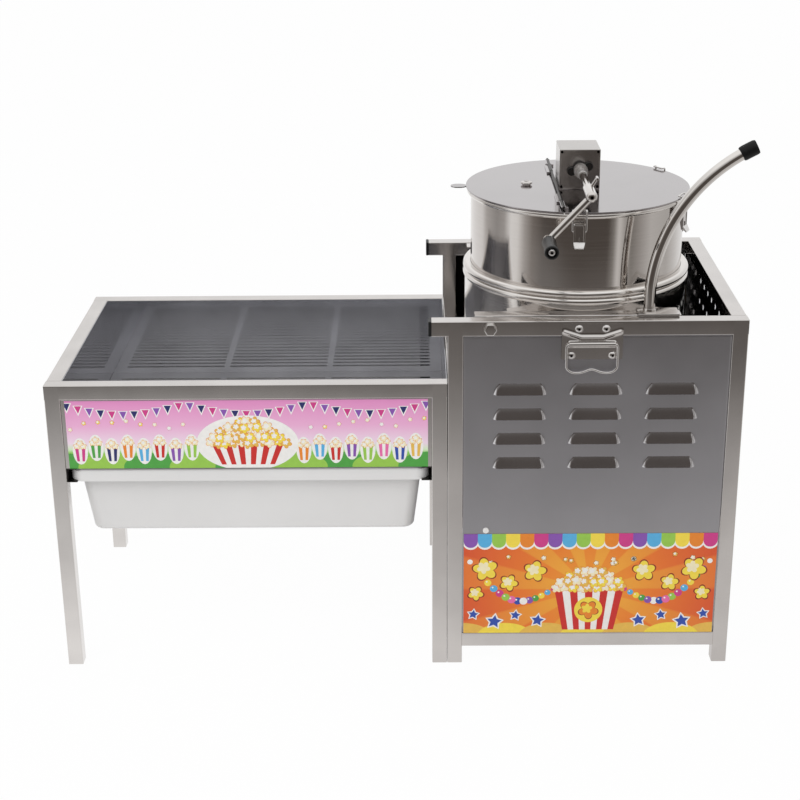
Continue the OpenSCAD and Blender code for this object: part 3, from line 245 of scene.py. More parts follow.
# paints the faces made since before and points them outwards
def settleFaces(bm, before, material=0):
    faces = [f for f in bm.faces if f not in before]
    for face in faces:
        face.material_index = material
    bmesh.ops.recalc_face_normals(bm, faces=faces)
    return faces


def boxVerts(bm, low, high):
    verts = bmesh.ops.create_cube(bm, size=1)["verts"]
    bmesh.ops.scale(bm, vec=[high[i] - low[i] for i in range(3)], verts=verts)
    bmesh.ops.translate(bm, vec=[(low[i] + high[i]) / 2 for i in range(3)], verts=verts)
    return verts


def discVerts(bm, sides, radius, depth):
    return bmesh.ops.create_cone(bm, cap_ends=True, segments=sides, radius1=radius, radius2=radius,
                                 depth=depth)["verts"]


# upright sheet of small squares that faces the front
def gridVerts(bm, across, up, width, height, centre):
    verts = bmesh.ops.create_grid(bm, x_segments=across, y_segments=up, size=0.5)["verts"]
    turnVerts(bm, verts, 90, "X")
    bmesh.ops.scale(bm, vec=(width, 1, height), verts=verts)
    bmesh.ops.translate(bm, vec=centre, verts=verts)
    return verts


# square bar with rounded edges, or with only those rounded that run along the axis
def roundBar(bm, low, high, radius, axis=None, material=0):
    verts = boxVerts(bm, low, high)
    for face in facesOf(verts):
        face.material_index = material
    edges = {e for v in verts for e in v.link_edges}
    if axis is not None:
        edges = {e for e in edges if abs((e.verts[0].co - e.verts[1].co).normalized()[axis]) > 0.9}
    if radius:
        bevelEdges(bm, edges, radius, 3, True)


# profile points are (radius, height) about an axis through centre; axis 2 is upright, 1 runs front to back
def turned(bm, profile, centre, axis=2, steps=96, closed=False, material=0):
    before = set(bm.faces)
    verts = [bm.verts.new((r, 0, h)) for r, h in profile]
    edges = [bm.edges.new(pair) for pair in zip(verts, verts[1:])]
    if closed:
        edges.append(bm.edges.new((verts[-1], verts[0])))
    bmesh.ops.spin(bm, geom=verts + edges, cent=(0, 0, 0), axis=(0, 0, 1), angle=math.tau, steps=steps,
                   use_merge=True)
    found = list({v for f in bm.faces if f not in before for v in f.verts})
    bmesh.ops.remove_doubles(bm, verts=found, dist=0.0005)
    found = list({v for f in settleFaces(bm, before, material) for v in f.verts})
    if axis == 1:
        turnVerts(bm, found, -90, "X")
    bmesh.ops.translate(bm, vec=centre, verts=found)
    return found


# path through the points with its corners rounded
def roundPath(points, radius, steps):
    path = [Vector(points[0])]
    for before, at, after in zip(points, points[1:], points[2:]):
        at = Vector(at)
        toBefore = Vector(before) - at
        toAfter = Vector(after) - at
        reach = min(radius, toBefore.length * 0.49, toAfter.length * 0.49)
        start = at + toBefore.normalized() * reach
        end = at + toAfter.normalized() * reach
        for i in range(steps + 1):
            t = i / steps
            path.append(start * (1 - t) ** 2 + at * 2 * t * (1 - t) + end * t * t)
    path.append(Vector(points[-1]))
    return path


# round bar or wire: a circle pushed along a path, extruded from one point to the next
def sweep(bm, path, radius, sides):
    path = [Vector(p) for p in path]
    sizes = radius if isinstance(radius, (list, tuple)) else [radius] * len(path)
    before = set(bm.faces)
    ahead = (path[1] - path[0]).normalized()
    turn = Vector((0, 0, 1)).rotation_difference(ahead)
    pose = Matrix.LocRotScale(path[0], turn, Vector((1, 1, 1)) * sizes[0])
    ring = bmesh.ops.create_circle(bm, cap_ends=True, segments=sides, radius=1, matrix=pose)["verts"]
    edges = list({e for v in ring for e in v.link_edges})
    for i in range(1, len(path)):
        along = (path[min(i + 1, len(path) - 1)] - path[i - 1]).normalized()
        turn = ahead.rotation_difference(along) @ turn
        ahead = along
        made = bmesh.ops.extrude_edge_only(bm, edges=edges)["geom"]
        edges = [e for e in made if isinstance(e, bmesh.types.BMEdge)]
        after = Matrix.LocRotScale(path[i], turn, Vector((1, 1, 1)) * sizes[i])
        bmesh.ops.transform(bm, matrix=after @ pose.inverted(), verts=vertsIn(made))
        pose = after
    bmesh.ops.edgeloop_fill(bm, edges=edges)
    settleFaces(bm, before)


# flat outline of (x, z) points at y0, pushed back to y1
def profileBar(bm, outline, y0, y1, material=0):
    before = set(bm.faces)
    face = bm.faces.new([bm.verts.new((x, y0, z)) for x, z in outline])
    pushed = bmesh.ops.extrude_face_region(bm, geom=[face])["geom"]
    bmesh.ops.translate(bm, vec=(0, y1 - y0, 0), verts=vertsIn(pushed))
    settleFaces(bm, before, material)


# sinks the largest face that looks this way, inside a level border
def sinkFace(bm, out, border, slope, depth):
    plate = max((f for f in bm.faces if f.normal.dot(out) > 0.9), key=lambda f: f.calc_area())
    bmesh.ops.inset_region(bm, faces=[plate], thickness=border, use_even_offset=True)
    bmesh.ops.inset_region(bm, faces=[plate], thickness=slope, depth=-depth, use_even_offset=True)


# profile of a round bar with broken edges, for turned; a bore makes it a sleeve
def barProfile(radius, start, end, edge, rise, bore=0):
    return [(bore, start), (radius - edge, start), (radius, start + rise), (radius, end - rise), (radius - edge, end),
            (bore, end)]


def arcPoints(cx, cz, r, fromDeg, toDeg, steps):
    turns = [math.radians(fromDeg + (toDeg - fromDeg) * i / steps) for i in range(steps + 1)]
    return [(cx + r * math.cos(a), cz + r * math.sin(a)) for a in turns]


def hexHead(bm, across, depth, centre, bevel, turn=0):
    head = discVerts(bm, 6, across / 2 / math.cos(math.radians(30)), depth)
    edges = {e for v in head for e in v.link_edges}
    turnVerts(bm, head, turn, "Z")
    turnVerts(bm, head, 90, "X")
    bmesh.ops.translate(bm, vec=centre, verts=head)
    bevelEdges(bm, edges, bevel, 2)


def setMaterial(names, material):
    for name in names:
        mesh = nodes[name].data
        mesh.materials.clear()
        mesh.materials.append(material)


# frame of the cabinet and of the table: drawn square tube, welded at the corners and polished over
tubing = {"side": 25, "corner": 1.6, "cabW": 480, "cabD": 490, "cabH": 620, "overhang": 26, "lowZ": 32,
          "leftTop": 515, "innerX": 2.3, "innerZ": 400, "innerSide": 20, "tableL": 655, "tableD": 480, "tableH": 515,
          "trayLow": 367.8, "gap": 0.8, "weld": 0.2, "proud": 0.05}
plugs = {"head": 5, "headRound": 1.5, "wall": 1.4, "shankEnd": -11, "shankRound": 0.8, "lap": 0.1}


def legTubes(bm, x0, x1, depth, top):
    t, p = tubing["side"], tubing["proud"]
    for x in (x0, x1 - t):
        for y in (0, depth - t):
            roundBar(bm, (x - p, y - p, 0), (x + t + p, y + t + p, top - 2), tubing["corner"], 2)


def frameTubes():
    t, w, r = tubing["side"], tubing["weld"], tubing["corner"]
    cw, cd, ch = tubing["cabW"], tubing["cabD"], tubing["cabH"]
    x0, x1 = -tubing["gap"] - tubing["tableL"], -tubing["gap"]
    td, th = tubing["tableD"], tubing["tableH"]
    out, low, inner = tubing["overhang"], tubing["lowZ"], tubing["innerSide"]

    def alongPair(bm, left, right, depth, z):  # a front and a rear rail
        for y in (0, depth - t):
            roundBar(bm, (left, y, z), (right, y + t, z + t), r, 0)

    def acrossRail(bm, x, depth, z, side=t):  # a rail from the front to the rear
        roundBar(bm, (x, t - w, z), (x + side, depth - t + w, z + side), r, 1, material=1)

    def closeTubes(bm, name, node, *grains):
        closePiece(bm, name, "stand", [steel[grain] for grain in grains], [node])

    bm = bmesh.new()
    legTubes(bm, 0, cw, cd, ch)
    closeTubes(bm, "cabinetLegTubes", "cabinet_legs", "tubeZ")
    bm = bmesh.new()
    alongPair(bm, -out, cw, cd, ch - t)
    acrossRail(bm, cw - t, cd, ch - t)
    closeTubes(bm, "cabinetTopTubes", "cabinet_top_rails", "tubeX", "tubeY")
    bm = bmesh.new()
    alongPair(bm, t - w, cw - t + w, cd, low)
    for x, z in ((0, low), (cw - t, low), (0, tubing["leftTop"] - t)):
        acrossRail(bm, x, cd, z)
    for x in (tubing["innerX"], cw - tubing["innerX"] - inner):
        acrossRail(bm, x, cd, tubing["innerZ"], inner)
    closeTubes(bm, "cabinetCrossTubes", "cabinet_cross_rails", "tubeX", "tubeY")
    bm = bmesh.new()
    legTubes(bm, x0, x1, td, th)
    closeTubes(bm, "tableLegTubes", "table_legs", "tubeZ")
    bm = bmesh.new()
    alongPair(bm, x0, x1, td, th - t)
    for x, top in ((x0, th), (x1 - t, tubing["trayLow"])):
        acrossRail(bm, x, td, top - t)
    closeTubes(bm, "tableTopTubes", "table_top_rails", "tubeX", "tubeY")
    bm, inside = bmesh.new(), plugs["wall"]
    for y in (0, cd - t):
        roundBar(bm, (-out - plugs["head"], y, ch - t), (-out, y + t, ch), plugs["headRound"])
        roundBar(bm, (-out - plugs["lap"], y + inside, ch - t + inside),
                 (plugs["shankEnd"], y + t - inside, ch - inside), plugs["shankRound"])
    closePiece(bm, "railPlugs", "stand", [plasticPlug], ["rail_end_plugs"])


frameTubes()
print("frame tubes done")


# front panel: one sheet bent back along its border, with louvres pressed out of it and open along their lower edges
louvres = {"x0": 25.3, "x1": 454.7, "z0": 57.3, "z1": 594.7, "face": 1.0, "border": 3.5, "back": 1.6,
           "columns": (117, 240, 363), "rows": (495, 452, 409, 366), "length": 86, "height": 19, "depth": 4.6,
           "end": (3.5, 4), "narrower": 0.2, "taper": 1.7, "belly": 0.1, "inset": 0.4, "across": 40, "up": 10}


def frontPanel():
    p = louvres
    bm = bmesh.new()
    corners = ((p["x0"], p["z0"]), (p["x1"], p["z0"]), (p["x1"], p["z1"]), (p["x0"], p["z1"]))
    bm.faces.new([bm.verts.new((x, p["face"], z)) for x, z in corners])
    half = p["length"] / 2
    cutsX = [x + s * half for x in p["columns"] for s in (-1, 1)] + [p["x0"] + p["border"], p["x1"] - p["border"]]
    cutsZ = [z + s * p["height"] for z in p["rows"] for s in (0, 1)] + [p["z0"] + p["border"], p["z1"] - p["border"]]
    for cuts, axis in ((cutsX, Vector((1, 0, 0))), (cutsZ, Vector((0, 0, 1)))):
        for cut in cuts:
            cutPlane(bm, axis * cut, axis)
    rim = {v for e in bm.edges if e.is_boundary for v in e.verts}
    bmesh.ops.translate(bm, vec=(0, p["back"], 0), verts=list(rim))

    def inLouvre(at):
        return any(abs(at.x - x) < half for x in p["columns"]) and \
            any(z < at.z < z + p["height"] for z in p["rows"])

    bmesh.ops.delete(bm, geom=[f for f in bm.faces if inLouvre(f.calc_center_median())], context="FACES_ONLY")
    for x in p["columns"]:
        for z in p["rows"]:
            hood = gridVerts(bm, p["across"], p["up"], p["length"], p["height"], (x, p["face"], z + p["height"] / 2))
            inner = half * (1 - 2 / p["across"])  # the outermost strip at each end stays level with the sheet
            for vert in hood:
                if abs(vert.co.x - x) < inner + 0.1:
                    down = 1 - (vert.co.z - z) / p["height"]
                    reach = (half - p["inset"]) * (1 - p["narrower"] * (1 - down) ** p["taper"])
                    along = (vert.co.x - x) / inner
                    along = (along + math.sin(along * math.pi / 2)) / 2  # closer columns where the ends curve
                    vert.co.x = x + along * reach
                    end = p["end"][0] + p["end"][1] * down
                    rise = math.sin(min(1, (1 - abs(along)) * reach / end) * math.pi / 2)
                    vert.co.y -= p["depth"] * rise * (down + p["belly"] * math.sin(math.pi * down))
            # the pressed hood faces take the paler sheet, a painted highlight
            for face in facesOf(hood):
                face.material_index = 2 if max(abs(v.co.x - x) for v in face.verts) < half - 0.1 else 0
    bmesh.ops.recalc_face_normals(bm, faces=bm.faces[:])
    if sum(f.normal.y * f.calc_area() for f in bm.faces) > 0:
        bmesh.ops.reverse_faces(bm, faces=bm.faces[:])
    # painted shade: the inner faces of the sheet and of its hoods are painted near black as the shade inside the
    # cabinet
    sheets = [steel[finish] for finish in ("front", "shadeInside", "hood", "shadeInside")]
    closePiece(bm, "louvredFront", "stand", sheets, ["front_panel"], sharp=50, wall=1.0, inner=1)


# rear and left panels: satin outside, painted dark inside as the shade within the cabinet
plainSheets = {"rearSheet": {"node": "rear_panel", "low": (25.3, 488, 57.3), "high": (454.7, 489, 594.7),
                             "inside": (0, -1, 0)},
               "leftSheet": {"node": "left_panel", "low": (1, 25.3, 57.3), "high": (2, 464.7, 489.7),
                             "inside": (1, 0, 0)}}


def plainPanels():
    for name, sheet in plainSheets.items():
        bm = bmesh.new()
        roundBar(bm, sheet["low"], sheet["high"], 0)
        for face in bm.faces:
            face.material_index = 1 if face.normal.dot(sheet["inside"]) > 0.5 else 0
        closePiece(bm, name, "stand", [steel["side"], steel["shadeInside"]], [sheet["node"]])


frontPanel()
plainPanels()
print("panels done")


# pot: spun wall with a rolled rim and a round bottom, hanging in a drum with a double-rolled collar
spun = {"wall": 180, "sheet": 1.5, "rim": 780, "bead": 5, "straight": 640, "bottom": 560, "drum": 190,
        "drumLow": 520, "collarTop": 652, "roll": 6.2, "collarOut": 193}


def potAndDrum():
    s = spun
    deep = s["straight"] - s["bottom"]
    bowlR = (s["wall"] ** 2 + deep ** 2) / (2 * deep)
    centreZ = s["bottom"] + bowlR
    reach = math.degrees(math.asin(s["wall"] / bowlR))
    inside = s["wall"] - s["sheet"]
    neck, straight = s["rim"] - 2 * s["bead"], s["straight"] + 6  # the wall is straight between them
    profile = arcPoints(0, centreZ, bowlR, -90, -90 + reach, 24)
    profile += [(s["wall"], straight), (s["wall"], neck + 0.2)]
    profile += arcPoints(s["wall"] + s["sheet"], s["rim"] - s["bead"], s["bead"], -107, 235, 20)
    profile += [(inside, neck), (inside, straight)]
    profile += arcPoints(0, centreZ, bowlR - s["sheet"], -90 + reach * 0.99, -90, 24)
    bm = bmesh.new()
    turned(bm, profile, (pot["x"], pot["y"], 0), steps=192)
    # the rolled rim takes the paler steel, a painted highlight
    for face in bm.faces:
        face.material_index = 1 if face.calc_center_median().z > neck + 0.3 else 0
    closePiece(bm, "spunPot", "pot", [steel["pot"], steel["roll"]], ["pot_bowl"], sharp=32)
    at, roll, sheet = s["collarOut"] - s["roll"], s["roll"], s["sheet"]
    collarLow = s["collarTop"] - 4 * roll
    low, high, seat, shoulder = collarLow + roll, collarLow + 3 * roll, s["wall"] + 0.4, collarLow + 0.6
    profile = [(s["drum"], s["drumLow"]), (s["drum"], shoulder)]
    profile += arcPoints(at, low, roll, -56, 80, 18) + arcPoints(at, high, roll, -80, 90, 22)
    profile += [(seat, s["collarTop"]), (seat, s["collarTop"] - sheet)]
    profile += arcPoints(at, high, roll - sheet, 90, -72, 16) + arcPoints(at, low, roll - sheet, 72, -50, 14)
    profile += [(s["drum"] - sheet, shoulder), (s["drum"] - sheet, s["drumLow"])]
    bm = bmesh.new()
    turned(bm, profile, (pot["x"], pot["y"], 0), steps=192, closed=True)
    # the drum and its collar take the paler rolled steel, a painted highlight
    closePiece(bm, "rolledDrum", "pot", [steel["roll"]], ["drum"], sharp=32)


potAndDrum()
print("pot and drum done")


# tilt bars, lever bracket and the bent lever with its rubber cap
lever = {"x": 326, "y": 42.3, "foot": 624.3, "bend": 645.3, "bendR": 270, "turn": 65, "r": 9.5, "capR": 12,
         "capL": 27, "barX0": 44, "barX1": 376, "barY": 29.8, "barZ": 595, "gussetX": 95, "gussetHalf": 30,
         "gussetZ": 607.5, "gussetT": 4, "plateX": (-20, 46), "plateY": (20, 54.8), "plateT": 4}


def tiltAndLever():
    v = lever
    t = tubing["side"]
    bm = bmesh.new()
    for y in (v["barY"], 2 * pot["y"] - v["barY"] - t):
        roundBar(bm, (v["barX0"], y, v["barZ"]), (v["barX1"], y + t, v["barZ"] + t), tubing["corner"], 0)
    drumR, half, thick = spun["drum"] + 0.3, v["gussetHalf"], v["gussetT"] / 2
    barAway = pot["y"] - v["barY"] - t + 0.4  # gussets end just inside the bars
    for s in (-1, 1):
        for side in (-1, 1):
            x = pot["x"] + s * v["gussetX"]
            plate = boxVerts(bm, (x - half, -0.5, v["gussetZ"] - thick), (x + half, 0.5, v["gussetZ"] + thick))
            for vert in plate:
                atDrum = math.sqrt(drumR ** 2 - (vert.co.x - pot["x"]) ** 2)
                vert.co.y = pot["y"] + side * (atDrum if vert.co.y * side < 0 else barAway)
            bmesh.ops.recalc_face_normals(bm, faces=facesOf(plate))
    closePiece(bm, "tiltTubes", "pot", [steel["tubeX"]], ["tilt_bars"])
    bm = bmesh.new()
    roundBar(bm, (v["x"] + v["plateX"][0], v["plateY"][0], v["foot"] - v["plateT"]),
             (v["x"] + v["plateX"][1], v["plateY"][1], v["foot"]), 0.8)
    closePiece(bm, "leverPlate", "pot", [steel["plated"]], ["lever_bracket"])

    def onBend(turn):
        a = math.radians(turn)
        return v["x"] + v["bendR"] * (1 - math.cos(a)), v["y"], v["bend"] + v["bendR"] * math.sin(a)

    bm, r = bmesh.new(), v["r"]
    sweep(bm, [(v["x"], v["y"], v["foot"]), (v["x"], v["y"], v["foot"] + 10)] +
          [onBend((v["turn"] - 0.7) * i / 40) for i in range(41)], r, 32)
    weld = [(r, 0), (r + 1, 0), (r + 0.9, 1.8), (r + 0.4, 3.2), (r, 4.4)]
    turned(bm, weld, (v["x"], v["y"], v["foot"]), steps=40)
    closePiece(bm, "leverBentTube", "pot", [steel["lever"]], ["lever_tube"])
    capTurn = math.degrees(v["capL"] / v["bendR"])
    sizes = [v["capR"] - (1.2 if i in (0, 12) else 0.3 if i in (1, 11) else 0) for i in range(13)]
    bm = bmesh.new()
    sweep(bm, [onBend(v["turn"] - capTurn * (1 - i / 12)) for i in range(13)], sizes, 36)
    closePiece(bm, "leverCap", "pot", [rubberCap], ["lever_cap"])


tiltAndLever()
print("tilt bars and lever done")


# lid: a round sheet in two parts, the flap hinged on a rod that runs through long wire eyes
lidSizes = {"r": 188.5, "low": 780.3, "top": 782.3, "hingeX": 186.5, "hingeZ": 786.7, "rodHalf": 170.7, "seam": 1,
            "leaf": 8, "tabL": 26, "tabW": 24, "knobX": 138, "eye": 40, "eyeHalf": 3.0, "eyeWire": 1.2,
            "knuckle": (41.5, 93.5), "rodR": 2.1, "rodPast": 2}


def lidHalf(side):
    d = lidSizes
    bm = bmesh.new()
    disc = discVerts(bm, 160, d["r"], d["top"] - d["low"])
    bmesh.ops.translate(bm, vec=(pot["x"], pot["y"], (d["top"] + d["low"]) / 2), verts=disc)
    cutPlane(bm, (d["hingeX"] + side * d["seam"] / 2, 0, 0), (side, 0, 0), clear_inner=True)
    bmesh.ops.holes_fill(bm, edges=[e for e in bm.edges if e.is_boundary], sides=0)
    rims = [e for e in bm.edges if len(e.link_faces) == 2 and e.calc_face_angle(0) > math.radians(60)]
    bevelEdges(bm, rims, 0.5, 2)
    return bm


# hinge eye: a wire bent to a long loop round the rod, on a narrow welded leaf
def hingeEye(bm, side, y0, y1):
    d = lidSizes
    x, z, h, w = d["hingeX"], d["hingeZ"], d["eyeHalf"], d["eyeWire"]
    loop = [(x, y0 + w, z), (x + h, y0 + w, z), (x + h, y1 - w, z), (x - h, y1 - w, z), (x - h, y0 + w, z),
            (x + 0.1, y0 + w, z)]
    sweep(bm, roundPath(loop, 2.8, 5), w, 12)
    inner, outer = 0.7, d["leaf"]
    x0, x1 = (x - outer, x - inner) if side < 0 else (x + inner, x + outer)
    roundBar(bm, (x0, y0 + 3, d["top"] - 0.2), (x1, y1 - 3, z - w * 0.4), 0.7)


def lid():
    d = lidSizes
    front, rear = pot["y"] - d["rodHalf"], pot["y"] + d["rodHalf"]
    eye, (near, far), hinge = d["eye"], d["knuckle"], (d["hingeX"], 0, d["hingeZ"])
    bm = lidHalf(1)
    hingeEye(bm, 1, front, front + eye)
    hingeEye(bm, 1, rear - eye, rear)
    closePiece(bm, "lidSheet", "pot", [steel["lid"]], ["lid_plate"])
    bm = lidHalf(-1)
    # the knuckles take the dark blacked steel, painted shade for the shadowed hinge
    for y0, y1 in ((front + near, front + far), (rear - far, rear - near)):
        turned(bm, barProfile(2.8, y0, y1, 0.2, 0.4, bore=2.2), hinge, axis=1, steps=24, closed=True, material=1)
        roundBar(bm, (d["hingeX"] - d["leaf"], y0, d["top"] - 0.2), (d["hingeX"] - 0.7, y1, d["hingeZ"] - 1), 0.7)
    tab = discVerts(bm, 40, d["tabW"] / 2, d["top"] - d["low"] - 0.4)
    tabX = pot["x"] - d["r"] - d["tabL"] + d["tabW"] / 2
    bmesh.ops.translate(bm, vec=(tabX, pot["y"], (d["top"] + d["low"]) / 2), verts=tab)
    bmesh.ops.translate(bm, vec=(d["tabL"] - d["tabW"] + 1.2, 0, 0), verts=[v for v in tab if v.co.x > tabX + 1])
    closePiece(bm, "flapSheet", "flap", [steel["lid"], steel["gear"]], ["lid_flap"])
    bm = bmesh.new()
    turned(bm, [(0, 0), (7, 0), (7.4, 0.6), (7.4, 1.4), (9.2, 2), (10, 3.2), (9.4, 4.9), (7.2, 6), (4, 6.4),
                (3.4, 5.2), (0, 5.0)], (d["knobX"], pot["y"], d["top"]), steps=48)
    for face in bm.faces:  # the recess in its top is painted dark as shade
        away = face.calc_center_median() - Vector((d["knobX"], pot["y"], d["top"]))
        face.material_index = 1 if away.z < 5.6 and away.xy.length < 3.6 else 0
    closePiece(bm, "flapKnob", "flap", [steel["plated"], steel["hole"]], ["flap_knob"])
    bm = bmesh.new()
    # the rod takes the dark blacked steel, painted shade for its shadowed look
    turned(bm, barProfile(d["rodR"], front - d["rodPast"], rear + d["rodPast"], 0.4, 0.5), hinge, axis=1, steps=24)
    closePiece(bm, "hingeRod", "pot", [steel["gear"]], ["flap_hinge_rod"])


lid()
print("lid done")


# gearbox on the lid, and the crank on its shaft
gearbox = {"w": 68, "y0": 208, "y1": 282, "z0": 782.3, "z1": 850.3, "fold": 1.4, "flangeR": 11.5, "flangeT": 6,
           "bore": 6.1, "earR": 7, "ear": 15, "earT": 4, "web": (6, 16), "webHalf": 6.6, "tilt": 16, "boltHead": 3,
           "boltAcross": 7.4, "boltR": 2.4, "boltL": 7.5}
crank = {"axisZ": 818.3, "shaftR": 6, "shaftFront": 12.6, "shaftBack": 291, "nutR": 11.8, "nutFront": 183.7,
         "nutBack": 198.7, "sleeveR": 7.5, "sleeveFront": 157.7, "hubR": 9, "hubFront": 9, "hubBack": 69, "armY": 17,
         "angle": 227, "length": 96, "armR": 5.8, "bossR": 8, "bossHalf": 7, "gripFront": -54.5, "gripBack": 9.5,
         "gripR": 11.5, "screwY": 57, "screwAngle": 58, "screwTop": 23, "barHalf": 7, "barR": 2.5, "knurls": 48,
         "knurlIn": 0.94, "fit": 0.05}


def gearboxCase():
    g = gearbox
    x = pot["x"]
    bm = bmesh.new()
    roundBar(bm, (x - g["w"] / 2, g["y0"], g["z0"]), (x + g["w"] / 2, g["y1"], g["z1"]), g["fold"])
    bmesh.ops.delete(bm, geom=[f for f in bm.faces if f.normal.z < -0.9], context="FACES")
    for out in (-1, 1):  # the end plates sit a little inside the folded case
        sinkFace(bm, (0, out, 0), 1.2, 0.3, 0.8)
        y = g["y0"] if out < 0 else g["y1"]
        for dx in (-1, 1):
            for z in (g["z1"] - 4.2, g["z0"] + 5):
                turned(bm, [(0, out * 0.5), (1.9, out * 0.5), (2.3, out * 0.1), (2.3, -out * 1.2)],
                       (x + dx * (g["w"] / 2 - 4), y, z), axis=1, steps=20, material=1)
    closePiece(bm, "gearboxCase", "pot", [steel["case"], steel["hole"]], ["gearbox_case"])
    bm, bolts = bmesh.new(), bmesh.new()
    a, r, ear, thick = math.radians(g["tilt"]), g["flangeR"], g["earR"], g["flangeT"]
    for out, face in ((-1, g["y0"]), (1, g["y1"])):
        ring = [(g["bore"], 0), (r, 0), (r, thick - 2), (r - 1, thick - 0.6), (9, thick), (g["bore"], thick)]
        made = turned(bm, ring, (0, 0, 0), axis=1, steps=48, closed=True)
        for s in (-1, 1):
            before = set(bm.verts)
            near, far = sorted(s * reach for reach in g["web"])
            roundBar(bm, (near, 0, -g["webHalf"]), (far, g["earT"], g["webHalf"]), 0.8)
            made += newVerts(bm, before)
            made += turned(bm, [(0, 0), (ear, 0), (ear, thick - 0.6), (ear - 0.6, thick - 0.1), (0, thick - 0.1)],
                           (s * g["ear"], 0, 0), axis=1, steps=32)
            boltX, boltZ = x + s * g["ear"] * math.cos(a), crank["axisZ"] + s * g["ear"] * math.sin(a)
            hexHead(bolts, g["boltAcross"], g["boltHead"],
                    (boltX, face + out * (thick + g["boltHead"] / 2), boltZ), 0.4)
            turned(bolts, [(0, 0), (g["boltR"], 0), (g["boltR"], g["boltL"]), (0, g["boltL"])],
                   (boltX, min(face + out * 6.6, face - out * 0.9), boltZ), axis=1, steps=16)
        made = list({v for v in made if v.is_valid})
        turnVerts(bm, made, -g["tilt"], "Y")
        if out < 0:
            bmesh.ops.scale(bm, vec=(1, -1, 1), verts=made)
            bmesh.ops.reverse_faces(bm, faces=facesOf(made))
        bmesh.ops.translate(bm, vec=(x, face, crank["axisZ"]), verts=made)
    closePiece(bm, "bearingFlanges", "pot", [ironFlange], ["bearing_flanges"])
    closePiece(bolts, "flangeBolts", "pot", [steel["gear"]], ["flange_bolts"])


def handCrank():
    c = crank
    x, z, bore = pot["x"], c["axisZ"], c["shaftR"] + c["fit"]
    bm = bmesh.new()
    turned(bm, barProfile(c["shaftR"], c["shaftFront"], c["shaftBack"], 0.8, 0.8), (x, 0, z), axis=1, steps=40)
    closePiece(bm, "crankShaft", "crank", [steel["turned"]], ["crank_shaft"])
    bm = bmesh.new()
    ring = discVerts(bm, c["knurls"], c["nutR"], c["nutBack"] - c["nutFront"])
    for vert in ring:
        k = round(math.degrees(math.atan2(vert.co.y, vert.co.x)) / (360 / c["knurls"]))
        if k % 2:
            vert.co.xy *= c["knurlIn"]
    turnVerts(bm, ring, 90, "X")
    bmesh.ops.translate(bm, vec=(x, (c["nutBack"] + c["nutFront"]) / 2, z), verts=ring)
    f, b, r = c["sleeveFront"], c["nutFront"] + 0.5, c["sleeveR"]
    turned(bm, [(bore, f), (r - 0.5, f), (r, f + 0.6), (r, b), (bore, b)], (x, 0, z), axis=1, steps=40, closed=True)
    closePiece(bm, "knurledCollar", "crank", [steel["zinc"]], ["shaft_collar"], sharp=12)
    bm = bmesh.new()
    f, b, r = c["hubFront"], c["hubBack"], c["hubR"]
    turned(bm, [(2.6, f + 3), (2.6, f + 0.2), (4, f + 0.2), (5.8, f + 0.9), (7.4, f + 2.2), (8.5, f + 3.9),
                (r, f + 6), (r, b - 1.4), (r - 0.3, b - 0.5), (r - 1.2, b), (bore, b)], (x, 0, z), axis=1, steps=56)
    turned(bm, [(0, f + 2.4), (2.8, f + 2.4)], (x, 0, z), axis=1, steps=24, material=1)
    closePiece(bm, "crankHub", "crank", [steel["turned"], steel["hole"]], ["crank_hub"])
    a = math.radians(c["angle"])
    along = Vector((math.cos(a), 0, math.sin(a)))
    origin = Vector((x, c["armY"], z))
    end = origin + along * c["length"]
    bm = bmesh.new()
    sweep(bm, [origin + along * s for s in (r - 0.6, 20, 60, c["length"] - 4)], c["armR"], 28)
    h, r = c["bossHalf"], c["bossR"]
    turned(bm, barProfile(r, -h, h, 0.8, 0.8, bore=4.05), end, axis=1, steps=36, closed=True)
    closePiece(bm, "crankArm", "crank", [steel["turned"]], ["crank_arm"])
    gf, gb, r, gripAxis = c["gripFront"], c["gripBack"], c["gripR"], (end.x, 0, end.z)
    bm = bmesh.new()
    turned(bm, [(4.1, gb), (r - 2, gb), (r - 0.9, gb - 1), (r - 0.3, gb - 4), (r - 0.5, gb - 14), (r - 1.1, gb - 28),
                (r - 0.9, gb - 40), (r - 0.3, gb - 52), (r, gf + 6), (r - 0.1, gf + 2.6), (r - 0.8, gf + 0.8),
                (r - 2, gf), (r - 3.2, gf), (7.7, gf + 0.8), (7.6, gf + 4.9), (4.1, gf + 5)], gripAxis, axis=1,
           steps=56, closed=True)
    closePiece(bm, "crankGrip", "grip", [plasticGrip], ["crank_grip"])
    bm = bmesh.new()
    turned(bm, [(2.2, gf + 3.4), (2.3, gf + 0.8), (3.4, gf + 0.6), (5, gf + 1.3), (6.2, gf + 2.8), (6.5, gf + 4.7),
                (4, gf + 4.7), (4, 23.8), (0, 23.8)], gripAxis, axis=1, steps=40)
    turned(bm, [(0, gf + 3.2), (2.6, gf + 3.2)], gripAxis, axis=1, steps=6, material=1)
    closePiece(bm, "gripBolt", "crank", [steel["zinc"], steel["hole"]], ["grip_bolt"])
    turn = math.radians(c["screwAngle"])
    out = Vector((math.cos(turn), 0, math.sin(turn)))
    start = Vector((x, c["screwY"], z))
    top = start + out * c["screwTop"]
    h, r = c["barHalf"], c["barR"]
    bm = bmesh.new()
    sweep(bm, [start + out * 6.3, start + out * 14, top], 2.6, 20)
    sweep(bm, [top + Vector((0, s, 0)) for s in (-h, 0.6 - h, h - 0.6, h)], [r - 0.6, r, r, r - 0.6], 18)
    closePiece(bm, "clampScrew", "clamp", [steel["plated"]], ["clamp_screw"])


gearboxCase()
handCrank()
print("gearbox and crank done")


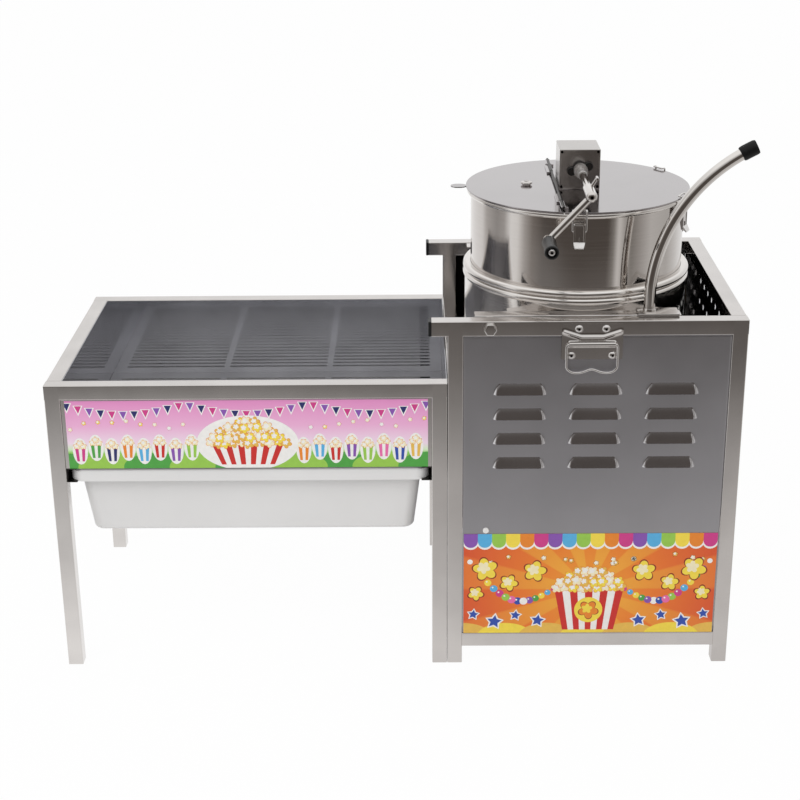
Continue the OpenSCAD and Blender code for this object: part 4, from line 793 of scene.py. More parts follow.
# toggle latches round the pot: base plate with ears and pin, pressed lever, wire loop over the lid's edge
latch = {"angles": {"front": -94, "right": -29, "rear": 35}, "wall": 180.1, "pinR": 186.1, "pinZ": 760,
         "loopR": 190.7, "loopZ": 752, "face": 193.4, "half": 9.2, "length": 34.5, "top": 763.6, "loopHalf": 11,
         "loopTop": 785.4, "hook": 6, "wire": 1.5, "sheet": 1.2, "baseHalf": 7.7, "baseZ": (733, 767),
         "earZ": (755, 765), "rivets": (738, 748)}


def latches():
    k = latch
    bases = bmesh.new()
    low, f, h = k["pinZ"] - k["length"], k["face"], k["half"]
    wall, sheet, base = k["wall"], k["sheet"], k["baseHalf"]
    for name, angle in k["angles"].items():
        turn = Matrix.Translation((pot["x"], pot["y"], 0)) @ Matrix.Rotation(math.radians(angle), 4, "Z")
        before = set(bases.verts)
        roundBar(bases, (wall, -base, k["baseZ"][0]), (wall + sheet, base, k["baseZ"][1]), 0.4)
        for y in (base - sheet, -base):
            roundBar(bases, (wall + 0.6, y, k["earZ"][0]), (k["pinR"] + 3.5, y + sheet, k["earZ"][1]), 0.3)
        turned(bases, barProfile(2, -h, h, 0.4, 0.4), (k["pinR"], 0, k["pinZ"]), axis=1, steps=20)
        for z in k["rivets"]:
            rivet = turned(bases, [(0, 0), (2.6, 0), (2.2, 0.8), (0, 1.2)], (0, 0, 0), steps=20)
            turnVerts(bases, rivet, 90, "Y")
            bmesh.ops.translate(bases, vec=(wall + sheet, 0, z), verts=rivet)
        bmesh.ops.transform(bases, matrix=turn, verts=newVerts(bases, before))
        bm = bmesh.new()
        roundBar(bm, (f, -h, low + 1), (f + sheet, h, k["top"]), 0.5)
        sinkFace(bm, (1, 0, 0), 1.8, 0.5, 0.8)
        # thumb pad at the foot, a small tab above it
        profileBar(bm, [(f + 0.1, low + 9.5), (f + 1.3, low + 9.5), (f + 2.2, low + 8.6), (f + 6.6, low + 1.6),
                        (f + 6.9, low + 0.4), (f + 6.2, low - 0.4), (f + 5.2, low), (f + 0.1, low + 6)], -h, h, 1)
        for vert in bm.verts:  # its corners are rounded off
            if vert.co.x > f + 4:
                vert.co.y *= 0.78
        roundBar(bm, (f + 0.2, -0.9, low + 9), (f + 1.5, 0.9, low + 17), 0.4)
        for y in (h - sheet, -h):
            cheek = arcPoints(k["pinR"], k["pinZ"], 4, 60, 240, 9)
            cheek += [(k["loopR"] - 3.2, k["loopZ"] - 4.2), (f - 2, low + 4), (f + 0.6, low + 4),
                      (f + 0.6, k["pinZ"] - 3)]
            profileBar(bm, cheek, y, y + sheet)
        bmesh.ops.transform(bm, matrix=turn, verts=bm.verts[:])
        closePiece(bm, name + "LatchLever", name + "_latch", [steel["plated"], steel["zinc"]],
                   [name + "_latch_lever"])
        r, z0, z1, wide = k["loopR"], k["loopZ"], k["loopTop"], k["loopHalf"]
        half = [(r, base - sheet, z0), (r, wide, z0), (r, wide, z1), (r - k["hook"], wide, z1)]
        points = [(px, -py, pz) for px, py, pz in half] + half[::-1]
        bm = bmesh.new()
        sweep(bm, roundPath(points, 2.4, 5), k["wire"], 12)
        bmesh.ops.transform(bm, matrix=turn, verts=bm.verts[:])
        closePiece(bm, name + "LatchLoop", name + "_latch_loop", [steel["wire"]],
                   [name + "_latch_bail"])
    closePiece(bases, "latchBases", "pot", [steel["plated"]], ["latch_bases"])


latches()
print("latches done")


# chest handles: pressed plate with a stepped ridge and an axle tunnel, screws, and a hanging wire bail
chest = {"x": 231, "w": 98, "z0": 556, "z1": 616, "t": 1.5, "axleZ": 582, "axleOut": 4.7, "wire": 2.1, "half": 41,
         "drop": 48, "rise": 7, "screws": ((-21.7, 607), (21.7, 607), (-33, 562.5), (33, 562.5)), "screwR": 6.8,
         "ridgeLow": 593.5, "ridgeRise": 9, "ridgeFlat": 18, "ridgeEnd": 45, "ridgeOut": 3.4, "tunnelHalf": 37.6,
         "ridgeSoft": 2.8, "ridgeFade": 3, "tunnelOver": 2.4, "tunnelFlat": 2.2, "tunnelSlope": 3,
         "across": 64, "up": 44}


def pressDepth(u, z):
    c = chest
    side = min(1, max(0, (abs(u) - c["ridgeFlat"]) / (c["ridgeEnd"] - c["ridgeFlat"])))
    ridge = c["ridgeOut"] * math.exp(-((z - c["ridgeLow"] - c["ridgeRise"] * side) / c["ridgeSoft"]) ** 2)
    ridge *= 1 if abs(u) < c["ridgeEnd"] else max(0, 1 - (abs(u) - c["ridgeEnd"]) / c["ridgeFade"])
    rise = c["axleOut"] + c["tunnelOver"] - c["t"]
    past = (abs(z - c["axleZ"]) - c["tunnelFlat"]) / c["tunnelSlope"]
    tunnel = rise * min(1, max(0, 1 - past)) if abs(u) < c["tunnelHalf"] else 0
    return max(ridge, tunnel)


def chestHandles():
    c = chest
    plates, screws = bmesh.new(), bmesh.new()
    y = -c["t"]
    for side in ("front", "rear"):
        flip = Matrix.Translation((0, 2 * pot["y"], 0)) @ Matrix.Scale(-1, 4, (0, 1, 0))
        before, beforeScrews = set(plates.verts), set(screws.verts)
        middle = (c["x"], y, (c["z0"] + c["z1"]) / 2)
        for vert in gridVerts(plates, c["across"], c["up"], c["w"], c["z1"] - c["z0"], middle):
            vert.co.y -= pressDepth(vert.co.x - c["x"], vert.co.z)
        r = c["screwR"]
        for dx, z in c["screws"]:
            head = [(1.7, -1.2), (1.9, -3), (3.6, -2.8), (r - 1.4, -1.7), (r - 0.2, -0.5), (r, 0)]
            turned(screws, head, (c["x"] + dx, y, z), axis=1, steps=32)
            turned(screws, [(0, -1.3), (1.9, -1.3)], (c["x"] + dx, y, z), axis=1, steps=16, material=1)
        h, low, axle = c["half"], c["axleZ"] - c["drop"], c["axleZ"]
        right = [(h - 24, low), (h - 9, low), (h, low + 7), (h, axle), (h - 12, axle)]
        points = [(-px, pz) for px, pz in right[::-1]] + [(0, low + c["rise"])] + right
        bm = bmesh.new()
        sweep(bm, roundPath([(c["x"] + px, -c["axleOut"], pz) for px, pz in points], 6, 6), c["wire"], 16)
        if side == "rear":
            bmesh.ops.transform(bm, matrix=flip, verts=bm.verts[:])
            bmesh.ops.recalc_face_normals(bm, faces=bm.faces[:])
            bmesh.ops.transform(plates, matrix=flip, verts=newVerts(plates, before))
            bmesh.ops.transform(screws, matrix=flip, verts=newVerts(screws, beforeScrews))
        closePiece(bm, side + "HandleBail", side + "_bail", [steel["wire"]],
                   [side + "_handle_bail"])
    for bm in (plates, screws):
        wrong = [f for f in bm.faces if abs(f.normal.y) > 0.05 and
                 f.normal.y * (f.calc_center_median().y - pot["y"]) < 0]
        bmesh.ops.reverse_faces(bm, faces=wrong)
    closePiece(plates, "handlePlates", "stand", [steel["plated"]], ["handle_plates"], sharp=60,
               wall=1.4)
    closePiece(screws, "handleScrews", "stand", [steel["wire"], steel["hole"]], ["handle_screws"])


chestHandles()
print("chest handles done")


# pivot bolts: hexagon heads with a washer face
pivot = {"x": 68, "z": 607.5, "head": 6.5, "washer": 1, "r": 6, "across": 19, "length": 65, "chamfer": 1.9}


def pivotBolts():
    p = pivot
    bm = bmesh.new()
    for rear in (False, True):
        before = set(bm.verts)
        hexHead(bm, p["across"], p["head"], (p["x"], -p["washer"] - p["head"] / 2, p["z"]), p["chamfer"], turn=30)
        turned(bm, [(0, -1.2), (9.3, -1.2), (9.5, 0), (p["r"], 0), (p["r"], p["length"]), (0, p["length"])],
               (p["x"], 0, p["z"]), axis=1, steps=40)
        if rear:
            bmesh.ops.rotate(bm, cent=(p["x"], pot["y"], 0), matrix=Matrix.Rotation(math.pi, 3, "Z"),
                             verts=newVerts(bm, before))
    for face in bm.faces:  # the head's sides and chamfers are duller and paler than its face; the paler colour is a painted highlight along the chamfer ring
        face.material_index = 1 if abs(face.normal.y) < 0.95 else 0
    closePiece(bm, "pivotBolts", "stand", [steel["plated"], steel["zinc"]], ["pivot_bolts"])


pivotBolts()


# table's tub: a tapered box with rounded corners and a turned-down rim
tub = {"x0": -626.8, "x1": -29.8, "y0": 6, "y1": 446, "top": 363.4, "bottom": 241.8, "rim": 12, "taper": 15,
       "corner": 20, "foot": 6, "wall": 2.4, "rimH": 20, "roll": 3}


def kernelTub():
    t = tub
    bm = bmesh.new()
    x0, x1, y0, y1 = t["x0"] + t["rim"], t["x1"] - t["rim"], t["y0"] + t["rim"], t["y1"] - t["rim"]
    cx, cy = (x0 + x1) / 2, (y0 + y1) / 2
    toMiddle = Matrix.Translation((-cx, -cy, 0))
    verts = boxVerts(bm, (x0, y0, t["bottom"]), (x1, y1, t["top"]))
    bmesh.ops.scale(bm, vec=(1 - 2 * t["taper"] / (x1 - x0), 1 - 2 * t["taper"] / (y1 - y0), 1),
                    verts=[v for v in verts if v.co.z < t["bottom"] + 1], space=toMiddle)
    bmesh.ops.delete(bm, geom=[f for f in bm.faces if f.normal.z > 0.9], context="FACES_ONLY")
    upright = [e for e in bm.edges if abs(e.verts[0].co.z - e.verts[1].co.z) > 50]
    bevelEdges(bm, upright, t["corner"], 8)
    foot = [e for e in bm.edges if all(v.co.z < t["bottom"] + 0.5 for v in e.verts) and
            any(f.normal.z > -0.9 for f in e.link_faces)]
    bevelEdges(bm, foot, t["foot"], 5)
    bmesh.ops.recalc_face_normals(bm, faces=bm.faces[:])
    mouth = [e for e in bm.edges if e.is_boundary]
    roll = t["roll"]
    # the rim turns out, over and down, and leaves room for the wall, which grows outwards on it
    for out, drop in ((t["rim"] - roll - t["wall"], 0), (roll, roll), (0, t["rimH"] - roll)):
        made = bmesh.ops.extrude_edge_only(bm, edges=mouth)["geom"]
        ring = vertsIn(made)
        mouth = [e for e in made if isinstance(e, bmesh.types.BMEdge)]
        wide = max(abs(v.co.x - cx) for v in ring)
        deep = max(abs(v.co.y - cy) for v in ring)
        bmesh.ops.scale(bm, vec=((wide + out) / wide, (deep + out) / deep, 1), verts=ring, space=toMiddle)
        bmesh.ops.translate(bm, vec=(0, 0, -drop), verts=ring)
    bmesh.ops.recalc_face_normals(bm, faces=bm.faces[:])
    if sum(f.normal.z for f in bm.faces if f.calc_center_median().z < t["bottom"] + 1) > 0:
        bmesh.ops.reverse_faces(bm, faces=bm.faces[:])
    closePiece(bm, "kernelTub", "tub", [tubWhite], ["kernel_tub"], sharp=50, wall=t["wall"])


kernelTub()
print("tub done")


# printer's ink on vinyl film: flat colour under a gloss coat, with the film's faint orange peel
def printedInk(name, colour):
    material, tree, shader, coords = startMaterial("vinyl film printed " + name,
                                                   {"Coat Weight": 0.2, "Coat Roughness": 0.2})
    peel = stretchedNoise(tree, coords, [7] * 3, 2)
    tint = addNode(tree, "ValToRGB", {"Fac": peel})
    setRamp(tint, [(0.3, shaded(colour, 0.94)), (0.7, colour)])
    tree.links.new(tint.outputs["Color"], shader.inputs["Base Color"])
    rough = addNode(tree, "MapRange", {"Value": peel}, {"To Min": 0.4, "To Max": 0.55})
    tree.links.new(rough.outputs["Result"], shader.inputs["Roughness"])
    return material


# the same film with a sunburst of two inks that pales towards its middle
def sunburstFilm(middle, rays):
    material, tree, shader, coords = startMaterial("vinyl film printed sunburst",
                                                   {"Roughness": 0.45, "Coat Weight": 0.2})
    centred = addNode(tree, "VectorMath", {0: coords.outputs["Object"]}, {1: place @ Vector(middle)},
                      operation="SUBTRACT")
    parts = addNode(tree, "SeparateXYZ", {"Vector": centred.outputs["Vector"]})
    angle = addNode(tree, "Math", {0: parts.outputs["Z"], 1: parts.outputs["X"]}, operation="ARCTAN2")
    turns = addNode(tree, "Math", {0: angle.outputs[0]}, {1: rays}, operation="MULTIPLY")
    wave = addNode(tree, "Math", {0: turns.outputs[0]}, operation="SINE")
    far = addNode(tree, "VectorMath", {0: centred.outputs["Vector"]}, operation="LENGTH")
    ray = addNode(tree, "MapRange", {"Value": wave.outputs[0]}, {"From Min": -0.15, "From Max": 0.15})
    inner = addNode(tree, "ValToRGB", {"Fac": far.outputs["Value"]})
    setRamp(inner, [(0.0, "#f6a32c"), (0.11, "#ee7a22"), (0.23, "#dd4f22")])
    outer = addNode(tree, "ValToRGB", {"Fac": far.outputs["Value"]})
    setRamp(outer, [(0.0, "#f9b83a"), (0.1, "#f19a2e"), (0.23, "#e8702a")])
    mixed = addNode(tree, "Mix", {0: ray.outputs["Result"], 6: inner.outputs["Color"],
                                            7: outer.outputs["Color"]}, data_type="RGBA")
    tree.links.new(mixed.outputs[2], shader.inputs["Base Color"])
    return material


# the same film with a sky that turns from pink to lilac, over a meadow and a blue edge
def meadowFilm(low, high):
    material, tree, shader, coords = startMaterial("vinyl film printed meadow",
                                                   {"Roughness": 0.45, "Coat Weight": 0.2})
    parts = addNode(tree, "SeparateXYZ", {"Vector": coords.outputs["Object"]})
    sway = 12  # the meadow's edge wanders this far up and down
    waves = stretchedNoise(tree, coords, [95, 95, 400], 1)
    lift = addNode(tree, "Math", {0: waves}, {1: sway * 0.001}, operation="MULTIPLY")
    height = addNode(tree, "Math", {0: parts.outputs["Z"], 1: lift.outputs[0]}, operation="ADD")
    share = addNode(tree, "MapRange", {"Value": height.outputs[0]},
                    {"From Min": (low + sway / 2) * 0.001, "From Max": (high + sway / 2) * 0.001})
    sky = addNode(tree, "ValToRGB", {"Fac": share.outputs["Result"]})
    setRamp(sky, [(0.0, "#3f8fd2"), (0.07, "#3f8fd2"), (0.08, "#58a94a"), (0.22, "#8ccf5c"), (0.27, "#d6efc4"),
                  (0.36, "#f3dcec"), (0.62, "#efb2d8"), (1.0, "#e58fc6")])
    tree.links.new(sky.outputs["Color"], shader.inputs["Base Color"])
    return material


inkCodes = {"red": "#d2261f", "orange": "#f08a24", "yellow": "#fbe04a", "cream": "#fbf0c8", "gold": "#eebf52",
            "white": "#f8f6f2", "blue": "#2b4fb0", "sky": "#58b4e6", "green": "#4fa944", "leaf": "#9ccf4e",
            "pink": "#ef6fae", "rose": "#d63a8c", "purple": "#8b54b4", "maroon": "#8c1d16", "navy": "#232a6c"}
inkNames = list(inkCodes)
inks = [printedInk(name, code) for name, code in inkCodes.items()]
layerStep, fineStep = 0.02, 0.003  # motifs lie this far in front of the ones under them and beside them
filmThick = 0.3


# a flat motif on the sheet: a disc, or a star where inner pulls in every second point
def motif(bm, x, z, radius, ink, layer, sides=20, inner=1.0, wide=1.0, tall=1.0, turn=0):
    middle = Vector((x, -layerStep * layer - fineStep * (len(bm.faces) % 6), z))
    pose = Matrix.Translation(middle) @ Matrix.Rotation(math.radians(90), 4, "X") @ \
        Matrix.Diagonal((wide, tall, 1, 1)) @ Matrix.Rotation(math.radians(turn), 4, "Z")
    ring = bmesh.ops.create_circle(bm, cap_ends=True, segments=sides, radius=radius, matrix=pose)["verts"]
    ring[0].link_faces[0].material_index = 1 + inkNames.index(ink)
    for vert in ring[1::2]:
        vert.co = middle.lerp(vert.co, inner)
    return ring


# a paper box or bag in upright stripes, narrower at its foot
def stripedBox(bm, x, z, width, height, colours, layer, foot=0.74):
    each = width / len(colours)
    for i, ink in enumerate(colours):
        at = x + (i + 0.5) * each - width / 2
        for vert in motif(bm, at, z + height / 2, math.sqrt(0.5), ink, layer, 4, wide=each, tall=height, turn=45):
            if vert.co.z < z + height / 2:
                vert.co.x = x + (vert.co.x - x) * foot


# popped corn: an outline of five round lobes, its dark edge under it, paler lobes and a light spot on it
def puff(bm, x, z, size, ink, layer, rng, edge, edgeWidth, pale="white"):
    turn = rng.uniform(0, 72)
    lobes = ((size + edgeWidth, edge, 0), (size, ink, 0), (size * 0.55, pale, 0.14))
    for rise, (reach, colour, aside) in enumerate(lobes):
        ring = motif(bm, x - aside * size, z + aside * size, reach, colour, layer + rise, sides=40,
                     turn=turn + aside * 200)
        middle = sum((vert.co for vert in ring), Vector()) / len(ring)
        for i, vert in enumerate(ring):
            vert.co = middle.lerp(vert.co, 0.62 + 0.38 * abs(math.sin(math.pi * i / 8)))


# rows of popped corn, one on the other
def cornHeap(bm, middle, z, heap, rng):
    for row, count in enumerate(heap["rows"]):
        for i in range(count):
            x = middle + (i - (count - 1) / 2) * heap["apart"] + rng.uniform(-2, 2)
            height = z + row * heap["rise"] + rng.uniform(-2, 2)
            ink = rng.choice(("cream", "gold", "yellow"))
            puff(bm, x, height, heap["size"], ink, heap["layer"] + 3 * (i % 3) + 9 * (row % 2), rng, "orange", 0.9)


# trims the motifs to the sheet, lays them on its face and adds the sheet itself
def closePrint(bm, node, name, film, margin=(0, 0, 0, 0)):
    low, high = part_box(node)
    low, high = place.inverted() @ Vector(low), place.inverted() @ Vector(high)
    filmLow, filmHigh = low + Vector((margin[0], 0, margin[2])), high - Vector((margin[1], 0, margin[3]))
    for at, out in ((filmLow, (-1, 0, 0)), (filmLow, (0, 0, -1)), (filmHigh, (1, 0, 0)), (filmHigh, (0, 0, 1))):
        cutPlane(bm, at, out, clear_outer=True)
    bmesh.ops.translate(bm, vec=(0, low.y, 0), verts=bm.verts[:])
    filmHigh.y = low.y + filmThick
    roundBar(bm, filmLow, filmHigh, 0)
    roundBar(bm, low + Vector((0, filmThick / 2, 0)), high, 0, material=len(inks) + 1)
    closePiece(bm, name, "stand", [film] + inks + [steel["tubeX"]], [node])


# cabinet's sheet: a sunburst round a big box of corn, a bright awning above, bead strings and stars at both sides
cabinetArt = {"x0": 27.3, "x1": 452.7, "z0": 57.3, "z1": 245.3, "seed": 7, "rays": 11, "strips": 18, "hills": 7,
              "beadCount": 15, "loose": 14,
              "beads": ("rose", "sky", "yellow", "green", "purple", "white", "blue", "pink", "leaf"),
              "awning": ("purple", "sky", "leaf", "yellow", "orange", "rose"),
              "corn": ((92, 118, 19), (136, 96, 15), (176, 122, 21), (192, 76, 13)),
              "stars": ((86, 24, 15), (124, 34, 12), (160, 22, 17), (196, 36, 12)),
              "heap": {"rows": (9, 8, 6, 4), "apart": 13.6, "rise": 10, "size": 9.6, "layer": 10}}


def cabinetPrint():
    a = cabinetArt
    rng = random.Random(a["seed"])
    x0, x1, z0, z1 = a["x0"], a["x1"], a["z0"], a["z1"]
    middle = (x0 + x1) / 2
    bm = bmesh.new()
    for i in range(a["strips"]):  # awning: straight strips that end in rounds
        spot, ink = x0 + (i + 0.5) * (x1 - x0) / a["strips"], a["awning"][i % len(a["awning"])]
        motif(bm, spot, z1 - 16, 13.4, "white", 1)
        motif(bm, spot, z1 - 14, 11.8, ink, 2)
        motif(bm, spot, z1 - 4, math.sqrt(0.5), ink, 3, 4, wide=23.7, tall=20, turn=45)
    for i in range(a["hills"]):  # rolling ground
        motif(bm, x0 + i * 71, z0 - 8, 44, "yellow" if i % 2 else "gold", 1, 40, wide=1.1, tall=0.62)
    for lean in (-1, 1):
        for i in range(a["beadCount"]):  # two strings of beads hang from the box's rim to the upper corners
            t = i / (a["beadCount"] - 1)
            spot, height = middle + lean * (60 + 142 * t), z0 + 84 + 52 * t - 46 * math.sin(math.pi * t)
            size = 4.6 + 2.4 * math.sin(math.pi * t)
            motif(bm, spot, height, size, a["beads"][i % len(a["beads"])], 4)
            motif(bm, spot - size * 0.3, height + size * 0.35, size * 0.24, "white", 5, 12)
        for dx, dz, size in a["corn"]:
            puff(bm, middle + lean * dx, z0 + dz, size, "yellow", 6, rng, "maroon", 2.4, "cream")
        for dx, dz, size in a["stars"]:
            motif(bm, middle + lean * dx, z0 + dz, size, "white", 6, 10, inner=0.56, turn=8 * lean)
            motif(bm, middle + lean * dx, z0 + dz, size * 0.76, "blue", 7, 10, inner=0.5, turn=8 * lean)
    stripedBox(bm, middle, z0 + 6, 118, 80, ("red", "white") * 4 + ("red",), 8)
    motif(bm, middle, z0 + 44, 24, "yellow", 9, 32)
    puff(bm, middle, z0 + 44, 17, "orange", 10, rng, "maroon", 1.5, "yellow")
    cornHeap(bm, middle, z0 + 88, a["heap"], rng)
    for i in range(a["loose"]):
        spot, height = rng.uniform(x0 + 20, x1 - 20), z0 + rng.uniform(130, 150)
        puff(bm, spot, height, 4.4, rng.choice(("cream", "gold")), 4, rng, "maroon", 0.7)
    closePrint(bm, "cabinet_print", "cabinetPrint", sunburstFilm((middle, 0, z0 + 84), a["rays"]))


# table's sheet: three swags of pennants, small bags in a row, a heap of corn in a wide bowl, hills below
tableArt = {"x0": -630.5, "x1": -26.1, "z0": 368, "z1": 489.7, "seed": 11, "hills": 9, "swags": 3, "perSwag": 11,
            "bagCount": 22, "bowlFrom": 7, "bowlTo": 14, "bowlClear": 84, "loose": 26,
            "bags": ("rose", "green", "navy", "orange", "sky", "red", "purple", "leaf", "pink", "blue", "gold"),
            "bagCorn": ((-5, 27), (5, 27), (0, 32)), "pennants": ("navy", "rose", "purple"),
            "heap": {"rows": (11, 10, 8, 6, 3), "apart": 12.4, "rise": 9, "size": 8.8, "layer": 9}}


def tablePrint():
    a = tableArt
    rng = random.Random(a["seed"])
    x0, x1, z0, z1 = a["x0"], a["x1"], a["z0"], a["z1"]
    span = x1 - x0
    bm = bmesh.new()
    for i in range(a["hills"]):
        spot = x0 + i * span / (a["hills"] - 1)
        motif(bm, spot, z0 + 2, 46, "leaf" if i % 2 else "green", 1, 40, wide=1.2, tall=0.55)
    each = a["perSwag"]
    count = a["swags"] * each
    for i in range(count):
        spot = x0 + span * (i + 0.5) / count
        height = z1 - 9 - 17 * math.sin(math.pi * (i % each + 0.5) / each)
        motif(bm, spot, height, 9.4, "white", 2, 3, turn=180, tall=1.3)
        motif(bm, spot, height + 0.6, 6.8, a["pennants"][i % 3], 3, 3, turn=180, tall=1.3)
    for i in range(a["bagCount"]):
        if a["bowlFrom"] < i < a["bowlTo"]:
            continue
        spot = x0 + 26 + i * (span - 52) / (a["bagCount"] - 1)
        height = z0 + 13 + 6 * (i % 2)
        ink = a["bags"][i % len(a["bags"])]
        motif(bm, spot, height + 18, 13.5, "white", 4, wide=0.92, tall=1.75)
        stripedBox(bm, spot, height, 17, 24, (ink, "white", ink), 5)
        for k, (dx, dz) in enumerate(a["bagCorn"]):
            puff(bm, spot + dx, height + dz, 5.6, "cream", 6 + 3 * k, rng, "orange", 0.7)
    middle = (x0 + x1) / 2
    motif(bm, middle, z0 + 44, 70, "white", 7, 48, wide=1.2, tall=0.7)
    stripedBox(bm, middle, z0 + 6, 118, 36, ("red", "white") * 5 + ("red",), 8)
    cornHeap(bm, middle, z0 + 45, a["heap"], rng)
    for i in range(a["loose"]):
        spot = x0 + 12 + i * (span - 24) / (a["loose"] - 1)
        if abs(spot - middle) > a["bowlClear"]:
            height = z0 + 78 + rng.uniform(-9, 9)
            puff(bm, spot, height, 3.8, rng.choice(("cream", "yellow", "white")), 3, rng, "rose", 0.5)
    closePrint(bm, "table_print", "tablePrint", meadowFilm(z0, z1), (6, 6, 0, 2))


cabinetPrint()
tablePrint()
print("prints done")


# CAD pieces that keep their shape take their real finishes; the right panel's inner face is painted dark as shade,
# and the tub runners take the dark blacked steel as painted shade
finishes = {"vented": ["right_panel"], "plated": ["pivot_washers", "pivot_nuts", "pivot_sleeves"],
            "iron": ["burner_bars", "burner_ring"], "brass": ["gas_pipe", "stirrer_bush"],
            "gear": ["crank_gear", "stirrer_gear", "tub_runners"], "turned": ["stirrer_shaft"],
            "tray": ["stirrer_blades", "tray_walls"], "sieve": ["sieve_plate"]}
for finish, names in finishes.items():
    setMaterial(names, steel[finish])
setMaterial(["panel_hole_plug"], plugWhite)


# stage: a wide pale floor and soft light all round; in the metal, the room behind the camera shows as a dark band
# between two windows, and the paper pales towards the feet
stage = {"floor": 14, "floorZ": -0.0005, "lens": 73.62, "sensor": 36, "camera": (-51, -2474, 1448),
         "pitch": 21.22, "yaw": -0.61, "roll": -0.58, "light": 0.62, "lamp": 45, "lampSize": (2.6, 1.8),
         "lampAt": (-1.4, -2.2, 3.0), "lampAim": (0, 0, 0.5), "paper": "#fbfbfb", "paperGlow": 0.975,
         "horizon": (0.22, 0.74), "nearX": (-0.55, 0.25),
         "around": [(-180, "#fbfbfb"), (-128, "#e2e1e1"), (-118, "#b4b1af"), (-98, "#93908e"), (-86, "#a5a2a0"),
                    (-76, "#ececec"), (-66, "#e4e3e2"), (-57, "#a8a4a1"), (-47, "#736c67"), (-34, "#534d49"),
                    (33, "#524c48"), (39, "#84807c"), (44, "#d6d4d2"), (49, "#b4b1ae"), (58, "#837f7b"),
                    (66, "#9e9a97"), (80, "#c4c2c0"), (104, "#bab8b6"), (130, "#e4e4e4"), (180, "#fbfbfb")],
         "fade": [(0.02, 0), (0.12, 0.25), (0.29, 0.44), (0.43, 0.76), (0.52, 0.88), (0.6, 0.89), (0.8, 1)],
         "fadeReach": 3.0, "footprint": (0.55, 0.24, 0), "nearLeft": "#ffffff", "nearRight": "#e0dedd"}


# colour of the room round the object, by the bearing from straight ahead of it
def roomColour(tree, vector):
    parts = addNode(tree, "SeparateXYZ", {"Vector": vector})
    back = addNode(tree, "Math", {0: parts.outputs["Y"]}, {1: -1}, operation="MULTIPLY")
    bearing = addNode(tree, "Math", {0: parts.outputs["X"], 1: back.outputs[0]}, operation="ARCTAN2")
    turn = addNode(tree, "MapRange", {"Value": bearing.outputs[0]},
                   {"From Min": -math.pi, "From Max": math.pi})
    ramp = addNode(tree, "ValToRGB", {"Fac": turn.outputs["Result"]})
    setRamp(ramp, [((deg + 180) / 360, code) for deg, code in stage["around"]])
    return parts, ramp.outputs["Color"]


def paperFloor():
    bm = bmesh.new()
    bmesh.ops.create_circle(bm, cap_ends=True, segments=96, radius=stage["floor"])
    mesh = bpy.data.meshes.new("studioFloor")
    bm.to_mesh(mesh)
    bm.free()
    floor = bpy.data.objects.new("studioFloor", mesh)
    bpy.context.scene.collection.objects.link(floor)
    floor.location.z = stage["floorZ"]
    material, tree, shader, coords = startMaterial("studio paper white", {"Base Color": hexColor(stage["paper"]),
                                                                          "Roughness": 0.9})
    parts, room = roomColour(tree, coords.outputs["Object"])
    size = addNode(tree, "VectorMath", {0: coords.outputs["Object"]}, operation="ABSOLUTE")
    past = addNode(tree, "VectorMath", {0: size.outputs["Vector"]}, {1: stage["footprint"]},
                   operation="SUBTRACT")
    outside = addNode(tree, "VectorMath", {0: past.outputs["Vector"]}, operation="MAXIMUM")
    far = addNode(tree, "VectorMath", {0: outside.outputs["Vector"]}, operation="LENGTH")
    share = addNode(tree, "MapRange", {"Value": far.outputs["Value"]}, {"From Max": stage["fadeReach"]})
    fade = addNode(tree, "ValToRGB", {"Fac": share.outputs["Result"]})
    setRamp(fade, [(at, (level, level, level, 1)) for at, level in stage["fade"]])
    nearLow, nearHigh = stage["nearX"]
    across = addNode(tree, "MapRange", {"Value": parts.outputs["X"]},
                     {"From Min": nearLow, "From Max": nearHigh})
    near = addNode(tree, "ValToRGB", {"Fac": across.outputs["Result"]})
    setRamp(near, [(0, stage["nearLeft"]), (1, stage["nearRight"])])
    shown = addNode(tree, "Mix", {0: fade.outputs["Color"], 6: near.outputs["Color"], 7: room},
                    data_type="RGBA")
    path = addNode(tree, "LightPath")
    mirrored = addNode(tree, "Emission", {"Color": shown.outputs[2]})
    white = addNode(tree, "Emission", None, {"Color": (1, 1, 1, 1)})
    most = addNode(tree, "MixShader", {1: shader.outputs[0], 2: white.outputs[0]}, {0: stage["paperGlow"]})
    direct = addNode(tree, "MixShader", {0: path.outputs["Is Camera Ray"], 1: shader.outputs[0],
                                                   2: most.outputs[0]})
    mix = addNode(tree, "MixShader", {0: path.outputs["Is Glossy Ray"], 1: direct.outputs[0],
                                                2: mirrored.outputs[0]})
    tree.links.new(mix.outputs[0], tree.nodes["Material Output"].inputs["Surface"])
    mesh.materials.append(material)


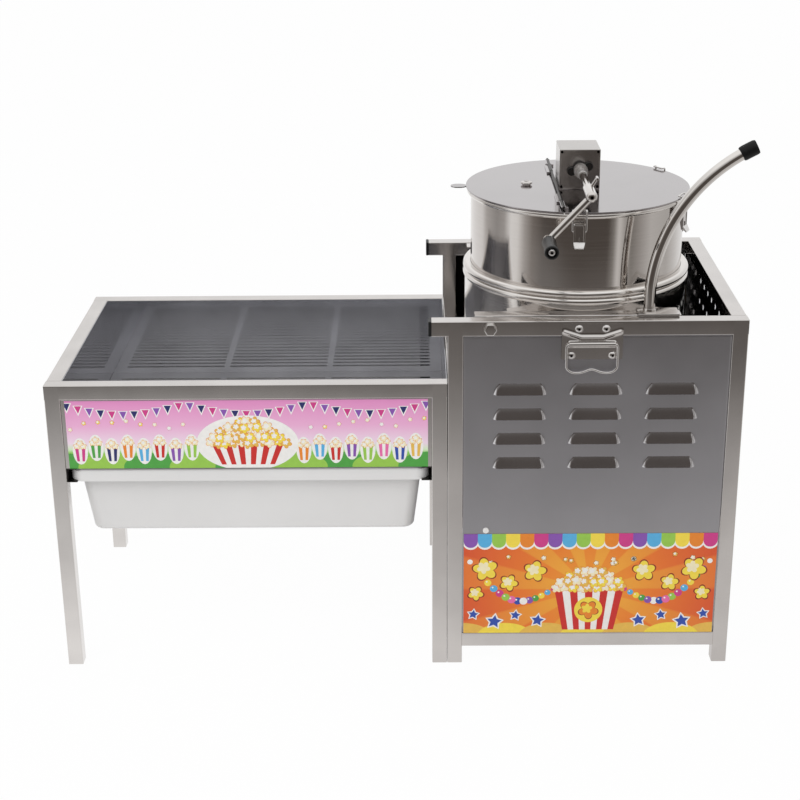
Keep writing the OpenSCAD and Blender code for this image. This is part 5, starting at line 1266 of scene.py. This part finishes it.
def roomAndLamp():
    world = bpy.data.worlds.new("studio")
    bpy.context.scene.world = world
    world.use_nodes = True
    tree = world.node_tree
    back = tree.nodes["Background"]
    coords = addNode(tree, "TexCoord")
    parts, room = roomColour(tree, coords.outputs["Generated"])
    low, high = stage["horizon"]
    above = addNode(tree, "MapRange", {"Value": parts.outputs["Z"]}, {"From Min": low, "From Max": high})
    shown = addNode(tree, "Mix", {0: above.outputs["Result"], 6: room}, {7: hexColor(stage["paper"])},
                    data_type="RGBA")
    path = addNode(tree, "LightPath")
    colour = addNode(tree, "Mix", {0: path.outputs["Is Glossy Ray"], 7: shown.outputs[2]},
                     {6: (1, 1, 1, 1)}, data_type="RGBA")
    tree.links.new(colour.outputs[2], back.inputs["Color"])
    seen = addNode(tree, "Math", {0: path.outputs["Is Camera Ray"], 1: path.outputs["Is Glossy Ray"]},
                   operation="MAXIMUM")
    also = addNode(tree, "Math", {0: seen.outputs[0], 1: path.outputs["Is Transmission Ray"]},
                   operation="MAXIMUM")
    level = addNode(tree, "MapRange", {"Value": also.outputs[0]}, {"To Min": stage["light"], "To Max": 1.0})
    tree.links.new(level.outputs["Result"], back.inputs["Strength"])
    lamp = bpy.data.lights.new("softBox", "AREA")
    lamp.shape = "RECTANGLE"
    lamp.size, lamp.size_y = stage["lampSize"]
    lamp.energy = stage["lamp"]
    box = bpy.data.objects.new("softBox", lamp)
    bpy.context.scene.collection.objects.link(box)
    box.visible_glossy = False
    box.location = stage["lampAt"]
    box.rotation_euler = (Vector(stage["lampAim"]) - box.location).to_track_quat("-Z", "Y").to_euler()


def photoCamera():
    camera = bpy.data.cameras.new("camera")
    camera.lens = stage["lens"]
    camera.sensor_width = stage["sensor"]
    camera.clip_end = 100
    eye = bpy.data.objects.new("camera", camera)
    bpy.context.scene.collection.objects.link(eye)
    p, y, r = (math.radians(stage[k]) for k in ("pitch", "yaw", "roll"))
    ahead = Vector((math.sin(y) * math.cos(p), math.cos(y) * math.cos(p), -math.sin(p)))
    right = Vector((math.cos(y), -math.sin(y), 0))
    up = right.cross(ahead)
    right, up = math.cos(r) * right + math.sin(r) * up, -math.sin(r) * right + math.cos(r) * up
    turn = Matrix((right, up, -ahead)).transposed().to_4x4()
    eye.matrix_world = Matrix.Translation(place @ Vector(stage["camera"])) @ turn
    bpy.context.scene.camera = eye
    bpy.context.scene.view_settings.view_transform = "Standard"


paperFloor()
roomAndLamp()
photoCamera()
print("stage done")
